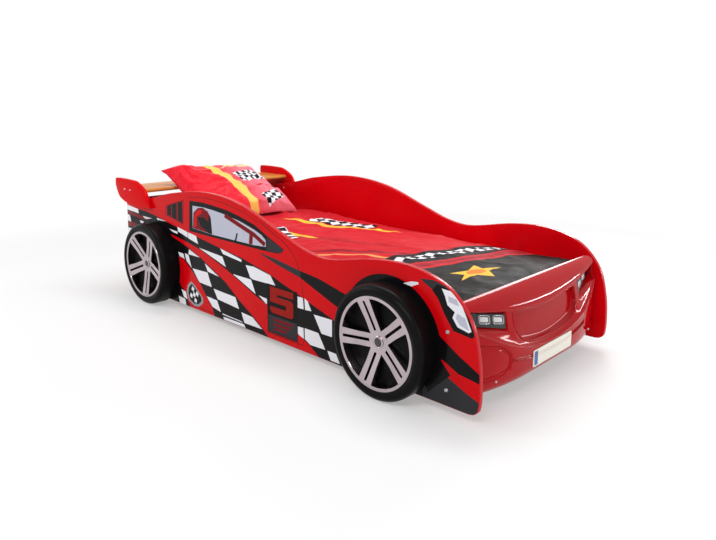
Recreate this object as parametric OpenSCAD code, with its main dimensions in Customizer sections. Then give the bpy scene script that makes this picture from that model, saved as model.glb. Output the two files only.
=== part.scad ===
// Children's bed in the shape of a racing car, for a 90 x 200 cm mattress.
// Millimetres. +X points to the bonnet, +Y to the car's left, +Z up; the floor is z = 0
// and the origin lies under the middle of the bed. "right" is the -Y side.

/* [Mattress and bedding] */
// Length of the mattress that the bed takes
mattress_l = 2000; // [1800:10:2100]
// Width of the mattress
mattress_w = 900; // [800:10:1000]
// Thickness of the mattress
mattress_h = 140; // [110:5:150]
// Room between the mattress and each side panel
side_gap = 8; // [4:1:15]
// Room between the mattress and the head and foot boards
end_gap = 8; // [4:1:15]
// Height of the duvet's sides over the mattress, near its upper hem
duvet_h = 36; // [25:1:50]
// Height of the duvet's sides over the mattress, at the footboard
duvet_toe_h = 14; // [10:1:30]
// How much higher the duvet is in the middle than at its sides
duvet_crown = 20; // [5:1:40]
// How far the duvet's upper hem lies from the headboard
duvet_back = 390; // [300:10:500]
// Length of the pillow
pillow_l = 600; // [500:10:640]
// Width of the pillow
pillow_w = 690; // [500:10:740]
// Height of the pillow's crown over its edges
pillow_h = 82; // [50:1:100]

/* [Side panels] */
// Thickness of every fibreboard panel
board = 18; // [16:1:22]
// Height of the roof line
roof_z = 600; // [560:5:640]
// Height of the dip where a child climbs in
dip_z = 429; // [410:1:450]
// Height of the bonnet over the front wheel
bonnet_z = 476; // [465:1:500]
// Height of the panel's tail under the spoiler
tail_z = 487; // [470:1:500]
// Height of the door sill over the floor
sill_z = 32; // [20:1:60]
// Height of the lower edge ahead of the front wheel and behind the rear wheel
apron_z = 38; // [30:1:60]
// Height of the widest point of the nose
nose_z = 120; // [100:5:140]
// Radius of the nose's lower corner
nose_r = 40; // [20:1:50]
// How far the panels run past the headboard
tail_lap = 34; // [15:1:60]
// Height of the plastic glides under the panels
glide_h = 6; // [4:1:10]

/* [Wheels] */
// Radius of the tyres
wheel_r = 202; // [190:1:210]
// How far the wheel mouldings stand out from the side panels
wheel_depth = 79; // [65:1:90]
// Rear wheel centre ahead of the headboard
axle_rear_in = 231; // [215:1:280]
// Front wheel centre behind the footboard
axle_front_in = 237; // [215:1:280]
// Outer radius of the rim ring
rim_r = 165; // [150:1:170]
// Width of the rim ring
ring_w = 13; // [9:1:18]
// Double spokes on each rim
spokes = 5; // [4:1:6]
// Width of one bar of a double spoke
bar_w = 20; // [14:1:24]
// Slot between the two bars of a spoke
slot_w = 10; // [6:1:14]
// Radius of the rim's hub
hub_r = 33; // [28:1:40]
// Radius of the plain cap in the hub
cap_r = 22; // [15:1:25]
// Depth of the dark well behind the spokes
well_d = 39; // [30:1:45]
// Wall of the thermoformed plastic mouldings
skin = 4; // [3:0.5:5]

/* [Bumper] */
// From the footboard's outer face to the tip of the bumper
bumper_d = 119; // [105:1:140]
// Height of the bumper's top edge
bumper_top = 388; // [375:1:400]
// Height of the bumper's bottom edge
bumper_bot = 68; // [55:1:80]
// Height of the brow over the mouth, in the middle
brow_z = 303; // [290:1:315]
// Height of the lip under the mouth, in the middle
lip_z = 168; // [162:1:180]
// How far the lip sweeps back from the middle to the side panels
lip_sweep = 51; // [30:1:60]
// Depth of the mouth under the brow
mouth_d = 17; // [6:1:22]
// From each end of the mouth to the headlight beside it
mouth_gap = 40; // [30:1:60]
// Depth of the pane beside each side panel
pane_d = 8; // [3:1:12]
// Distance of the two upright formers from the side panels
rib_in = 113; // [80:1:150]
// Width of the number plate
plate_w = 288; // [200:2:290]
// Height of the number plate
plate_h = 60; // [40:1:62]

/* [Headlights] */
// From each side panel to the outer end of the headlight
light_edge = 20; // [16:1:45]
// Length of each headlight
light_l = 170; // [150:1:180]
// Height of each headlight at its inner end
light_h = 50; // [40:1:54]
// Height of each headlight at its outer end
light_h_out = 41; // [32:1:42]
// Width of one square lamp over its rim
lamp_w = 50; // [40:1:54]
// Height of one square lamp over its rim
lamp_h = 30; // [24:1:34]
// Width of a lamp's rim
lamp_rim = 3; // [2:0.5:4]
// From the headlight's inner end to the middle of the first lamp
lamp_in = 33; // [30:1:44]
// From the middle of one lamp to the middle of the next
lamp_pitch = 62; // [57:1:75]

/* [Spoiler] */
// Height of the fins' top edge
fin_top = 602; // [585:1:620]
// Length of the fins
fin_l = 354; // [340:1:370]
// How far the fins reach behind the headboard
tail_back = 115; // [105:1:140]
// Height of the wing's lower face
wing_z = 540; // [530:1:548]
// Depth of the wing from front to back
wing_d = 235; // [200:5:250]
// Distance of the wing's back edge from the fins' back edge
wing_in = 22; // [10:1:40]
// Height of the headboard's top edge
head_top = 500; // [470:5:525]
// Height of the lower edge of the head and foot boards
cross_z = 62; // [40:1:80]

/* [Slatted base] */
// Height of the slats' upper face
slat_top = 200; // [190:1:205]
// Number of slats
slats = 13; // [10:1:13]
// Width of one slat
slat_w = 70; // [50:1:80]
// Thickness of one slat
slat_t = 12; // [10:1:16]
// Thickness of the rails that carry the slats
rail_t = 28; // [20:1:34]
// Height of the rails and of the bumper's top batten
rail_h = 40; // [30:1:45]
// Width of the beam under the middle of the slats
beam_w = 40; // [30:1:50]
// Height of that beam
beam_h = 60; // [50:1:70]
// Radius of the legs under the beam
leg_r = 22; // [15:1:25]
// Height of the pads under the legs
pad_h = 8; // [5:1:12]

/* [Fasteners] */
// Radius of the panel bolts' shanks
bolt_r = 3; // [2.5:0.25:4]
// Radius of the panel bolts' heads
bolt_head_r = 7; // [6:0.5:9]
// Radius of the wood screws' shanks
screw_r = 2; // [1.5:0.25:2.5]
// Radius of the wood screws' heads
screw_head_r = 4.5; // [4:0.25:6]

/* [Hidden] */
SLAT_NAMES = [for (i = [1:slats]) str("slat_", i < 10 ? "0" : "", i)];

RIGHT = -1;
LEFT = 1;
fit = 0.3;                                  // clearance of loose and soft pieces
$fn = 64;

// Plan of the bed, from the tail to the tip of the bumper
overall_l = tail_back + board + end_gap + mattress_l + end_gap + board + bumper_d;
x_tail = -overall_l / 2;
x_head_out = x_tail + tail_back;
x_head_in = x_head_out + board;
x_foot_in = x_head_in + 2 * end_gap + mattress_l;
x_foot_out = x_foot_in + board;
x_tip = x_foot_out + bumper_d;
x_rear = x_head_in + axle_rear_in;
x_front = x_foot_in - axle_front_in;
x_panel_tail = x_head_out - tail_lap;
x_nose = x_tip - 2;
y_in = mattress_w / 2 + side_gap;
y_out = y_in + board;
y_fin = y_out + board;
mattress_top = slat_top + mattress_h;

// ---- Curves -------------------------------------------------------------------------

function mix(a, b, t) = a + (b - a) * t;
function ease(t) = let (c = min(1, max(0, t))) c * c * (3 - 2 * c);
function sum_to(list, n) = n < 0 ? 0 : list[n] + sum_to(list, n - 1);

// Smooth curve through knots: cubic stretches whose tangents follow the chords
function smooth_curve(knots, steps) =
    let (last = len(knots) - 1,
         chord = [for (i = [0:last - 1]) norm(knots[i + 1] - knots[i])],
         time = [for (i = [0:last]) sum_to(chord, i - 1)],
         slope = [for (i = [0:last])
             let (a = max(0, i - 1), b = min(last, i + 1))
             (knots[b] - knots[a]) / (time[b] - time[a])])
    [for (i = [0:last - 1], s = [0:steps - 1])
        let (t = s / steps, h = chord[i])
        knots[i] * (2 * pow(t, 3) - 3 * t * t + 1)
        + slope[i] * h * (pow(t, 3) - 2 * t * t + t)
        + knots[i + 1] * (3 * t * t - 2 * pow(t, 3))
        + slope[i + 1] * h * (pow(t, 3) - t * t),
     knots[last]];

// Lays a drawing made in X and Z against the side panels: outwards from y = start
module against_side(side, start, thick) {
    if (side == LEFT)
        translate([0, start + thick, 0]) rotate([90, 0, 0]) linear_extrude(thick) children();
    else
        translate([0, -start, 0]) rotate([90, 0, 0]) linear_extrude(thick) children();
}

// Turns a piece drawn around Z so that its axis points outwards at a wheel centre
module at_wheel(side, x) {
    translate([x, side * y_out, wheel_r]) rotate([-side * 90, 0, 0]) children();
}

module pan_screw(shank) {
    translate([0, 0, -shank]) cylinder(h = shank, r = screw_r, $fn = 20);
    cylinder(h = 2.4, r1 = screw_head_r, r2 = screw_head_r * 0.7, $fn = 24);
}

// ---- Side panels --------------------------------------------------------------------

// Share of the wheelbase ahead of the rear wheel, as a place along the bed
function along(share) = mix(x_rear, x_front, share);

roof_line = smooth_curve([
    [x_panel_tail, tail_z],
    [x_rear - 23, mix(tail_z, roof_z, 0.34)],
    [along(0.11), mix(tail_z, roof_z, 0.73)],
    [along(0.296), roof_z],
    [along(0.465), mix(dip_z, roof_z, 0.84)],
    [along(0.64), mix(dip_z, roof_z, 0.315)],
    [along(0.72), mix(dip_z, roof_z, 0.08)],
    [along(0.80), dip_z],
    [along(0.943), mix(dip_z, bonnet_z, 0.8)],
    [x_front + 50, bonnet_z],
    [x_front + 165, bonnet_z - 16],
    [x_nose - 114, bonnet_z - 55],
    [x_nose - 39, bonnet_z - 140],
    [x_nose - 8, mix(nose_z, bonnet_z, 0.3)],
    [x_nose, nose_z],
    [x_nose - nose_r * (1 - cos(30)), apron_z + nose_r * (1 - sin(30))],
    [x_nose - nose_r * (1 - cos(60)), apron_z + nose_r * (1 - sin(60))],
    [x_nose - nose_r, apron_z]], 7);
tail_rise = 85;                             // rise of the lower edge at the tail
lobe_r = wheel_r - 4;                       // the foot behind each tyre
lobe_steps = 6;

// Round foot of a side panel behind a tyre, from the edge ahead of it to the edge behind it
function lobe_angle(z) = acos((wheel_r - z) / lobe_r);
function lobe_arc(x, from, to) = [for (i = [0:lobe_steps])
    let (a = mix(from, to, i / lobe_steps)) [x + lobe_r * sin(a), wheel_r - lobe_r * cos(a)]];
function lobe(x, z_ahead, z_behind) = concat(
    lobe_arc(x, lobe_angle(z_ahead), lobe_angle(glide_h)),
    lobe_arc(x, -lobe_angle(glide_h), -lobe_angle(z_behind)));

side_outline = concat(roof_line, lobe(x_front, apron_z, sill_z), lobe(x_rear, sill_z, apron_z),
    [[x_panel_tail, apron_z + tail_rise]]);

// The panel bolts: two at each end of each side, in the middle of the end boards
bolt_edge = 30;                             // lowest bolt, over the boards' lower edge
foot_bolt_step = 195;                       // between the two bolts at the foot
head_bolt_step = 180;                       // and at the head, where the lower one is raised
head_bolt_rise = 60;
bolt_spots = [
    [x_head_out + board / 2, cross_z + bolt_edge + head_bolt_rise],
    [x_head_out + board / 2, cross_z + bolt_edge + head_bolt_rise + head_bolt_step],
    [x_foot_in + board / 2, cross_z + bolt_edge],
    [x_foot_in + board / 2, cross_z + bolt_edge + foot_bolt_step]];
bolt_l = board + 46;
bolt_play = 0.3;
nut_in = 30;                                // barrel nuts, in from the board's end
nut_r = 5;

module bolt_bore(side, spot) {
    translate([spot[0], side * (y_out + 1), spot[1]]) rotate([side * 90, 0, 0])
        cylinder(h = bolt_l + 3, r = bolt_r + bolt_play, $fn = 32);
}

module side_panel(side) {
    color("red") difference() {
        against_side(side, y_in, board) polygon(side_outline);
        for (spot = bolt_spots) bolt_bore(side, spot);
    }
}

module end_board(x, low, high, corner) {
    translate([x, 0, 0]) rotate([90, 0, 90]) linear_extrude(board) union() {
        translate([-y_in, low]) square([2 * y_in, high - low - corner]);
        translate([-y_in + corner, low]) square([2 * (y_in - corner), high - low]);
        for (s = [-1, 1]) translate([s * (y_in - corner), high - corner]) circle(corner);
    }
}

module end_bores(x, face, toward) {
    for (side = [RIGHT, LEFT], spot = bolt_spots) if (abs(spot[0] - x) < board) {
        bolt_bore(side, spot);
        translate([face, side * (y_in - nut_in), spot[1]]) rotate([0, toward * 90, 0])
            translate([0, 0, -1]) cylinder(h = 16, r = nut_r + 0.2, $fn = 32);
    }
}

module headboard() {
    color("firebrick") difference() {
        end_board(x_head_out, cross_z, head_top, 40);
        end_bores(x_head_out, x_head_in, -1);
    }
}

module footboard() {
    color("firebrick") difference() {
        end_board(x_foot_in, cross_z, mattress_top, 6);
        end_bores(x_foot_in, x_foot_in, 1);
    }
}

glide_l = 36;                               // straight length of a glide, between its round ends
module panel_glides() {
    color("dimgray") for (side = [RIGHT, LEFT], x = [x_rear, x_front])
        translate([x, side * (y_in + board / 2), 0]) linear_extrude(glide_h) {
            square([glide_l, board - 4], center = true);
            for (end = [-1, 1]) translate([end * glide_l / 2, 0]) circle(board / 2 - 2);
        }
}

module panel_bolts() {
    color("silver") for (side = [RIGHT, LEFT], spot = bolt_spots)
        translate([spot[0], side * y_out, spot[1]]) rotate([-side * 90, 0, 0]) {
            translate([0, 0, -bolt_l]) cylinder(h = bolt_l, r = bolt_r, $fn = 32);
            difference() {
                cylinder(h = 3, r1 = bolt_head_r, r2 = bolt_head_r - 1.5, $fn = 32);
                translate([0, 0, 1]) cylinder(h = 3, r = 2.3, $fn = 6);
            }
        }
}

module barrel_nuts() {
    color("silver") for (side = [RIGHT, LEFT], spot = bolt_spots) {
        at_head = spot[0] < 0;
        face = at_head ? x_head_in : x_foot_in;
        difference() {
            translate([face, side * (y_in - nut_in), spot[1]])
                rotate([0, at_head ? -90 : 90, 0]) translate([0, 0, 0.5])
                    cylinder(h = 14, r = nut_r, $fn = 32);
            translate([spot[0], side * y_in, spot[1]]) rotate([side * 90, 0, 0])
                cylinder(h = bolt_l, r = bolt_r + 0.1, $fn = 32);
        }
    }
}

// ---- Spoiler ------------------------------------------------------------------------

fin_line = smooth_curve([
    [x_tail, fin_top - 34], [x_tail + 2, fin_top - 10], [x_tail + 11, fin_top],
    [x_tail + 0.54 * fin_l, fin_top - 1], [x_tail + 0.655 * fin_l, fin_top - 11],
    [x_tail + 0.833 * fin_l, mix(tail_z, fin_top, 0.62)],
    [x_tail + 0.932 * fin_l, mix(tail_z, fin_top, 0.18)], [x_tail + fin_l, tail_z - 14]], 6);
fin_belly = smooth_curve([
    [x_tail + fin_l, tail_z - 14], [x_tail + 0.71 * fin_l, tail_z - 19],
    [x_tail + 0.385 * fin_l, tail_z - 13], [x_tail + 0.135 * fin_l, tail_z + 12],
    [x_tail + 17, tail_z + 44], [x_tail, fin_top - 34]], 6);
wing_back = x_tail + wing_in;

module spoiler_fin(side) {
    color("red") against_side(side, y_out, board) polygon(concat(fin_line, fin_belly));
}

module spoiler_wing() {
    nose_r = board / 2;
    color("goldenrod") translate([0, y_out, 0]) rotate([90, 0, 0]) linear_extrude(2 * y_out) {
        translate([wing_back + 2, wing_z]) square([wing_d - 2 - nose_r, board]);
        translate([wing_back, wing_z + 2]) square([wing_d - nose_r, board - 4]);
        translate([wing_back + wing_d - nose_r, wing_z + nose_r]) circle(nose_r);
    }
}

// Two screws from each fin into the wing, two from inside each panel into the fin
wing_screw_x = [wing_back + 0.32 * wing_d, wing_back + 0.57 * wing_d];
fin_screw_x = [x_head_in + 22, x_head_in + 118];
module fin_screws() {
    color("silver") for (side = [RIGHT, LEFT]) {
        for (x = wing_screw_x)
            translate([x, side * y_fin, wing_z + board / 2])
                rotate([-side * 90, 0, 0]) pan_screw(board + 30);
        for (x = fin_screw_x)
            translate([x, side * y_in, tail_z - 6])
                rotate([side * 90, 0, 0]) pan_screw(2 * board - 5);
    }
}

// ---- Wheels: thermoformed tyres with plated rims, screwed to the side panels ------------

shoulder = 22;
flange_w = 24;
well_r = rim_r + fit;
tyre_wall = [
    [wheel_r - flange_w, 0], [wheel_r, 0], [wheel_r, wheel_depth - shoulder],
    for (a = [15:15:75]) [wheel_r - shoulder + shoulder * cos(a),
        wheel_depth - shoulder + shoulder * sin(a)],
    [wheel_r - shoulder, wheel_depth], [well_r + 5, wheel_depth - 2], [well_r, wheel_depth - 6],
    [well_r, well_d], [0, well_d], [0, well_d - skin], [well_r + skin, well_d - skin],
    [well_r + skin, wheel_depth - 2 - skin], [wheel_r - shoulder, wheel_depth - skin],
    for (a = [75:-15:15]) [wheel_r - shoulder + (shoulder - skin) * cos(a),
        wheel_depth - shoulder + (shoulder - skin) * sin(a)],
    [wheel_r - skin, wheel_depth - shoulder], [wheel_r - skin, skin],
    [wheel_r - flange_w, skin]];

module tyre(side, x) {
    color([0.12, 0.12, 0.13]) at_wheel(side, x) rotate_extrude($fn = 96) polygon(tyre_wall);
}

// Front face of the rim: a shallow dish that drops to the hub
ring_top = wheel_depth - 3;
dish_edge = wheel_depth - 8;
dish_break = wheel_depth - 17;
dish_hub = wheel_depth - 27;
rim_back = well_d;
spoke_t = 12;

module spoke_plan(turn) {
    half = slot_w / 2 + bar_w;
    reach = rim_r - ring_w / 2;
    for (k = [0:spokes - 1]) rotate(turn + k * 360 / spokes) difference() {
        polygon([[0, -half], [reach * 0.55, -half], [reach, -half - 5], [reach, half + 5],
            [reach * 0.55, half], [0, half]]);
        translate([hub_r + 6, -slot_w / 2]) square([reach - ring_w - hub_r - 2, slot_w]);
    }
}

module rim(side, x, turn) {
    color([0.75, 0.7, 0.72]) at_wheel(side, x) {
        rotate_extrude($fn = 96) polygon([
            [rim_r - ring_w, rim_back], [rim_r, rim_back], [rim_r, ring_top - 3],
            [rim_r - 3, ring_top], [rim_r - ring_w + 4, ring_top - 1],
            [rim_r - ring_w, ring_top - 6]]);
        intersection() {
            translate([0, 0, rim_back]) linear_extrude(wheel_depth)
                spoke_plan(side == RIGHT ? turn : -turn);
            rotate_extrude($fn = 96) polygon([
                [hub_r - 4, dish_hub - spoke_t], [rim_r * 0.5, dish_break - spoke_t],
                [rim_r - ring_w / 2, dish_edge - spoke_t], [rim_r - ring_w / 2, dish_edge],
                [rim_r * 0.5, dish_break], [hub_r - 4, dish_hub]]);
        }
        rotate_extrude($fn = 48) polygon([
            [0, rim_back], [hub_r - 6, rim_back], [hub_r, dish_hub - 2], [hub_r - 3, dish_hub + 1],
            [cap_r + 3, dish_hub + 1], [cap_r + 1, dish_hub - 3], [0, dish_hub - 3]]);
    }
}

module hub_cap(side, x) {
    color([0.3, 0.3, 0.32]) at_wheel(side, x) rotate_extrude($fn = 48) polygon([
        [0, dish_hub - 3], [cap_r, dish_hub - 3], [cap_r, dish_hub],
        [cap_r - 2, dish_hub + 2], [0, dish_hub + 3]]);
}

// Four screws from inside the panel hold the flange of each tyre
module wheel_screws() {
    color("silver") for (side = [RIGHT, LEFT], x = [x_rear, x_front], a = [45:90:315]) {
        reach = wheel_r - flange_w / 2 - 2;
        translate([x + reach * cos(a), side * y_in, wheel_r + reach * sin(a)])
            rotate([side * 90, 0, 0]) pan_screw(board + skin + 6);
    }
}

// ---- Bumper: one thermoformed shell between the side panels -------------------------

bw = y_in - 0.5;                            // half the width of the shell
light_in = y_in - light_edge - light_l;     // inner end of a headlight, from the middle
mouth_w = light_in - mouth_gap;             // half the width of the mouth
rib_y = y_in - rib_in;
x_flange = x_foot_out + board;              // back face of the shell's top flange
roll_r = 6;
lip_back = 4;                               // how far the lip's crease stands proud
lip_front = x_tip - lip_back;
bot_round = 46;                             // height of the rounded lower edge
bot_in = 38;                                // how far that edge turns under
bot_top = bumper_bot + bot_round;
flange_low = mattress_top - 28;
lip_flat = plate_w / 2 + 6;
lip_rise = 134;                             // rise of the lip from the middle to the sides
brow_rise = 58;                             // and of the brow
brow_back = 28;                             // the brow behind the tip, in the middle
brow_sweep = 37;                            // how far the brow sweeps back at the sides
brow_drop = 7;                              // how far the brow overhangs the face under it

function across(y) = abs(y) / bw;
function lip_x(y) = lip_front
    - lip_sweep * pow(max(0, (abs(y) - lip_flat) / (bw - lip_flat)), 2);
function lip_height(y) = lip_z + lip_rise * pow(across(y), 2);
function brow_x(y) = x_tip - brow_back - brow_sweep * pow(across(y), 2);
function brow_height(y) = brow_z + brow_rise * pow(across(y), 1.5);

// Plane of the headlight's face, and outline of the headlight in it
light_t = 8;
light_z = brow_height(light_in) - 14;       // top of the inner end
light_turn = 0.216;                         // backward per unit outward
light_lean = 0.12;                          // backward per unit upward
light_rise = 0.19;                          // upward per unit outward
light_out = light_in + light_l;
function light_x(y, z) = brow_x(light_in) - 6 - light_turn * (abs(y) - light_in)
    - light_lean * (z - light_z);
function light_top(y) = light_z + light_rise * (abs(y) - light_in);
function light_low(y) = light_top(y)
    - mix(light_h, light_h_out, (abs(y) - light_in) / light_l);

// The shell is a net whose lines follow its features: each column of points runs from the
// rounded lower edge over the pane, the lip's crease, the recess of mouth or headlight, the
// brow and the hood to the top flange. step_w is the width of the step round a recess.
step_w = 5;
pocket_room = 1.5;                          // between a headlight and the step round it
pane_in = light_in;                         // inner tip of the pane, from the middle
pane_nose = 75;                             // length of the pane's rounded inner end
pane_rise = 0.235;                          // upward of its top edge per unit outward
pane_tip = 16;                              // height left at its tip
corner_low = 50;                            // rise of the mouth's lower edge at its corners
corner_top = 8;                             // drop of its upper edge there

// 1 in the columns of the mouth, 0 beside it; then the same for the headlight's pocket
function mouth_share(y) = ease((mouth_w - abs(y)) / step_w);
function pocket_share(y) = ease((abs(y) - light_in + pocket_room + step_w) / step_w)
    * ease((light_out + pocket_room + step_w - abs(y)) / step_w);

// Lower and upper edge of the recess, from the mouth's to the pocket's
function recess_turn(y) = ease((abs(y) - mouth_w) / (light_in - 2 * step_w - mouth_w));
function recess_low(y) = let (corner = corner_low * pow(min(1, abs(y) / mouth_w), 12))
    max(lip_height(y) + 8, mix(lip_height(y) + 18 + corner,
        light_low(max(light_in, abs(y))) - step_w - pocket_room, recess_turn(y)));
function recess_top(y) = let (corner = corner_top * pow(min(1, abs(y) / mouth_w), 6))
    mix(brow_height(y) - 5 - corner,
        light_top(max(light_in, abs(y))) + step_w + pocket_room, recess_turn(y));

// Face between lip and brow, and the floor of the recess in it
function face_x(y, z) =
    let (s = (z - lip_height(y)) / (brow_height(y) - lip_height(y)))
    mix(lip_x(y) - brow_drop, brow_x(y) - brow_drop, pow(s, 0.8));
function floor_x(y, z) = mix(face_x(y, z) - mouth_d * mouth_share(y),
    light_x(y, z) - light_t, pocket_share(y));

// The pane in the lower face, beside the side panel: it opens from a rounded inner end
function pane_open(y) = let (s = min(1, max(0, abs(y) - pane_in) / pane_nose))
    sqrt(1 - pow(1 - s, 2));
function pane_mid(y) = mix(bot_top, lip_height(y), 0.5);
function pane_low(y) = mix(pane_mid(y) - pane_tip / 2, bot_top + 2, pane_open(y));
function pane_top(y) = mix(pane_mid(y) + pane_tip / 2, min(lip_height(y) - 2 * lip_back,
    lip_height(pane_in) + pane_rise * (abs(y) - pane_in)), pane_open(y));
function pane_depth(y) = pane_d * ease((abs(y) - pane_in) / 9);

function hood(y, a) =
    [x_flange + roll_r + (brow_x(y) - x_flange - roll_r) * pow(cos(a), 1.3),
     mix(brow_height(y), bumper_top, pow(sin(a), 1.3))];

// One column: points of the outer face as X and Z, and the way the wall lies behind each
hood_rows = 6;
recess_rows = 5;
function low_points(y) = let (x = lip_x(y), low = pane_low(y), top = pane_top(y))
    concat(
        [for (a = [0:22.5:90])
            [x - bot_in * (1 - sin(a)), bumper_bot + bot_round * (1 - cos(a)), 0.8 * (a - 90)]],
        [[x, low, 0], [x - pane_depth(y), low + step_w, 0],
         [x - pane_depth(y), top - step_w, 0], [x, top, 0], [x, lip_height(y) - lip_back, 0]]);
function mid_points(y) = let (low = recess_low(y), top = recess_top(y))
    concat(
        [[lip_x(y) + lip_back, lip_height(y), 0],
         [mix(lip_x(y), face_x(y, lip_height(y) + 6), 0.6), lip_height(y) + 6, 0],
         [face_x(y, low), low, 0]],
        [for (i = [0:recess_rows]) let (z = mix(low + step_w, top - step_w, i / recess_rows))
            [floor_x(y, z), z, 0]],
        [[face_x(y, top), top, 0]]);
function shell_column(y) = concat(low_points(y), mid_points(y),
    [for (i = [0:hood_rows - 1])
        let (a = 90 * i / hood_rows, p = hood(y, a)) [p[0], p[1], a * 0.75]],
    [for (a = [90, 130, 180])
        [x_flange + roll_r + roll_r * cos(a), bumper_top - roll_r + roll_r * sin(a), a]],
    [[x_flange, flange_low, 180]]);

// Places of the columns over one half of the shell
half_columns = concat(
    [for (i = [0:10]) (mouth_w - step_w) * sin(9 * i)],
    [mouth_w],
    [for (y = [light_in, light_out]) let (s = y == light_in ? -1 : 1)
        each (s < 0 ? [y - pocket_room - step_w, y - pocket_room,
            for (t = [0.04, 0.09, 0.17, 0.28, 0.42, 0.6, 0.8]) mix(light_in, light_out, t)]
            : [y + pocket_room, y + pocket_room + step_w])],
    [mix(light_out + pocket_room + step_w, bw, 0.5), bw]);
shell_ys = concat([for (i = [len(half_columns) - 1:-1:1]) -half_columns[i]], half_columns);

module bumper_shell() {
    ys = shell_ys;
    columns = len(ys) - 1;
    rows = [for (y = ys) shell_column(y)];
    m = len(rows[0]);
    outer = [for (i = [0:columns], p = rows[i]) [p[0], ys[i], p[1]]];
    inner = [for (i = [0:columns], p = rows[i])
        [p[0] - skin * cos(p[2]), ys[i], p[1] - skin * sin(p[2])]];
    k = len(outer);
    quads = concat(
        [for (i = [0:columns - 1], j = [0:m - 2])
            [i * m + j, (i + 1) * m + j, (i + 1) * m + j + 1, i * m + j + 1]],
        [for (i = [0:columns - 1], j = [0:m - 2])
            [k + i * m + j, k + i * m + j + 1, k + (i + 1) * m + j + 1, k + (i + 1) * m + j]],
        [for (i = [0:columns - 1], j = [0, m - 1]) j == 0
            ? [i * m, k + i * m, k + (i + 1) * m, (i + 1) * m]
            : [i * m + j, (i + 1) * m + j, k + (i + 1) * m + j, k + i * m + j]],
        [for (i = [0, columns], j = [0:m - 2]) i == 0
            ? [j, j + 1, k + j + 1, k + j]
            : [i * m + j, k + i * m + j, k + i * m + j + 1, i * m + j + 1]]);
    color([0.75, 0.05, 0.08]) polyhedron(concat(outer, inner),
        [for (q = quads) each [[q[2], q[1], q[0]], [q[3], q[2], q[0]]]]);
}

// Upright formers between the footboard and the shell, cut to its inner face
former_low = bot_top - 10;
former_top = mattress_top - rail_h;
// Innermost place of the shell's outer face at a height, over the former's thickness
function back_x(z) = min([for (dy = [-1, 0, 1], p = [shell_column(rib_y + dy * board / 2)],
    i = [1:len(p) - 1]) if (min(p[i - 1][1], p[i][1]) <= z + 4 && max(p[i - 1][1], p[i][1]) >= z - 4)
        min(p[i - 1][0], p[i][0])]);
module bumper_former(side) {
    near = [for (z = [former_low:8:former_top - 1]) [back_x(z) - skin - fit, z]];
    color("tan") translate([0, side * rib_y + board / 2, 0]) rotate([90, 0, 0])
        linear_extrude(board) polygon(concat([[x_foot_out, former_low]], near,
            [[x_flange, former_top], [x_foot_out, former_top]]));
}

// Batten under the shell's top flange
module bumper_batten() {
    color("tan") translate([x_foot_out, -y_in + fit, former_top])
        cube([board, 2 * (y_in - fit), rail_h]);
}

// One screw under each pane into a former, three through the top flange
module bumper_screws() {
    color("silver") {
        for (side = [RIGHT, LEFT])
            translate([lip_x(rib_y), side * rib_y, bot_top - 4])
                rotate([0, 90, 0]) pan_screw(skin + 20);
        for (y = [-0.8, 0, 0.8] * y_in)
            translate([x_flange + skin, y, (flange_low + mattress_top) / 2]) rotate([0, 90, 0])
                pan_screw(skin + board - 4);
    }
}

// ---- Headlights and number plate ----------------------------------------------------

// A leaning plate with the outline of a headlight, from its face back to its pocket
module light_prism(outline, front, back) {
    n = len(outline);
    pts = concat(
        [for (p = outline) [light_x(p[0], p[1]) + front, p[0], p[1]]],
        [for (p = outline) [light_x(p[0], p[1]) + back, p[0], p[1]]]);
    polyhedron(pts, concat([[for (i = [n - 1:-1:0]) i]], [[for (i = [0:n - 1]) n + i]],
        [for (i = [0:n - 1]) [i, (i + 1) % n, n + (i + 1) % n, n + i]]));
}

function light_outline(inset) = [
    [light_in + inset, light_low(light_in) + inset],
    [light_in + light_l - inset, light_low(light_in + light_l) + inset],
    [light_in + light_l - inset, light_top(light_in + light_l) - inset],
    [light_in + inset, light_top(light_in) - inset]];
function lamp_mid(i) = light_in + lamp_in + lamp_pitch * i;
lamp_drop = 4;                              // from the headlight's top edge to a lamp's rim
lens_in = 2 * lamp_rim;                     // from a lamp's rim to its lens, with the dark gap
function lamp_outline(i, grow) = let (w = lamp_w / 2 + grow, h = lamp_h / 2 + grow)
    [for (p = [[-1, -0.6], [-0.7, -1], [0.7, -1], [1, -0.6], [1, 0.6], [0.7, 1], [-0.7, 1],
        [-1, 0.6]]) let (y = lamp_mid(i) + p[0] * w)
        [y, light_top(y) - lamp_drop - lamp_h / 2 + p[1] * h]];

// The right-hand pieces are the mirror image of the left-hand ones
module on_side(side) {
    if (side == LEFT) children();
    else mirror([0, 1, 0]) children();
}

lamp_seat = fit - 5;                        // back of a lamp, behind the headlight's face
module headlight(side) {
    color([0.1, 0.1, 0.11]) on_side(side) difference() {
        light_prism(light_outline(0), 0, fit - light_t);
        for (i = [0, 1]) light_prism(lamp_outline(i, 0.4), 1, lamp_seat - fit);
    }
}

module lamps(side) {
    color([0.85, 0.85, 0.9]) on_side(side) for (i = [0, 1])
        union() {
            difference() {
                light_prism(lamp_outline(i, 0), 2, lamp_seat);
                light_prism(lamp_outline(i, -lamp_rim), 3, lamp_seat + lamp_rim);
            }
            light_prism(lamp_outline(i, -lens_in), 1, lamp_seat + lamp_rim - 1);
        }
}

plate_t = 3;
plate_low = lip_z - lip_back - 1 - plate_h;
module number_plate() {
    color("white") translate([lip_front, 0, plate_low]) rotate([90, 0, 90])
        linear_extrude(plate_t) translate([-plate_w / 2, 0]) {
            c = 6;
            translate([0, c]) square([plate_w, plate_h - 2 * c]);
            translate([c, 0]) square([plate_w - 2 * c, plate_h]);
            for (a = [c, plate_w - c], b = [c, plate_h - c]) translate([a, b]) circle(c);
        }
}

// ---- Slatted base -------------------------------------------------------------------

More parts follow.
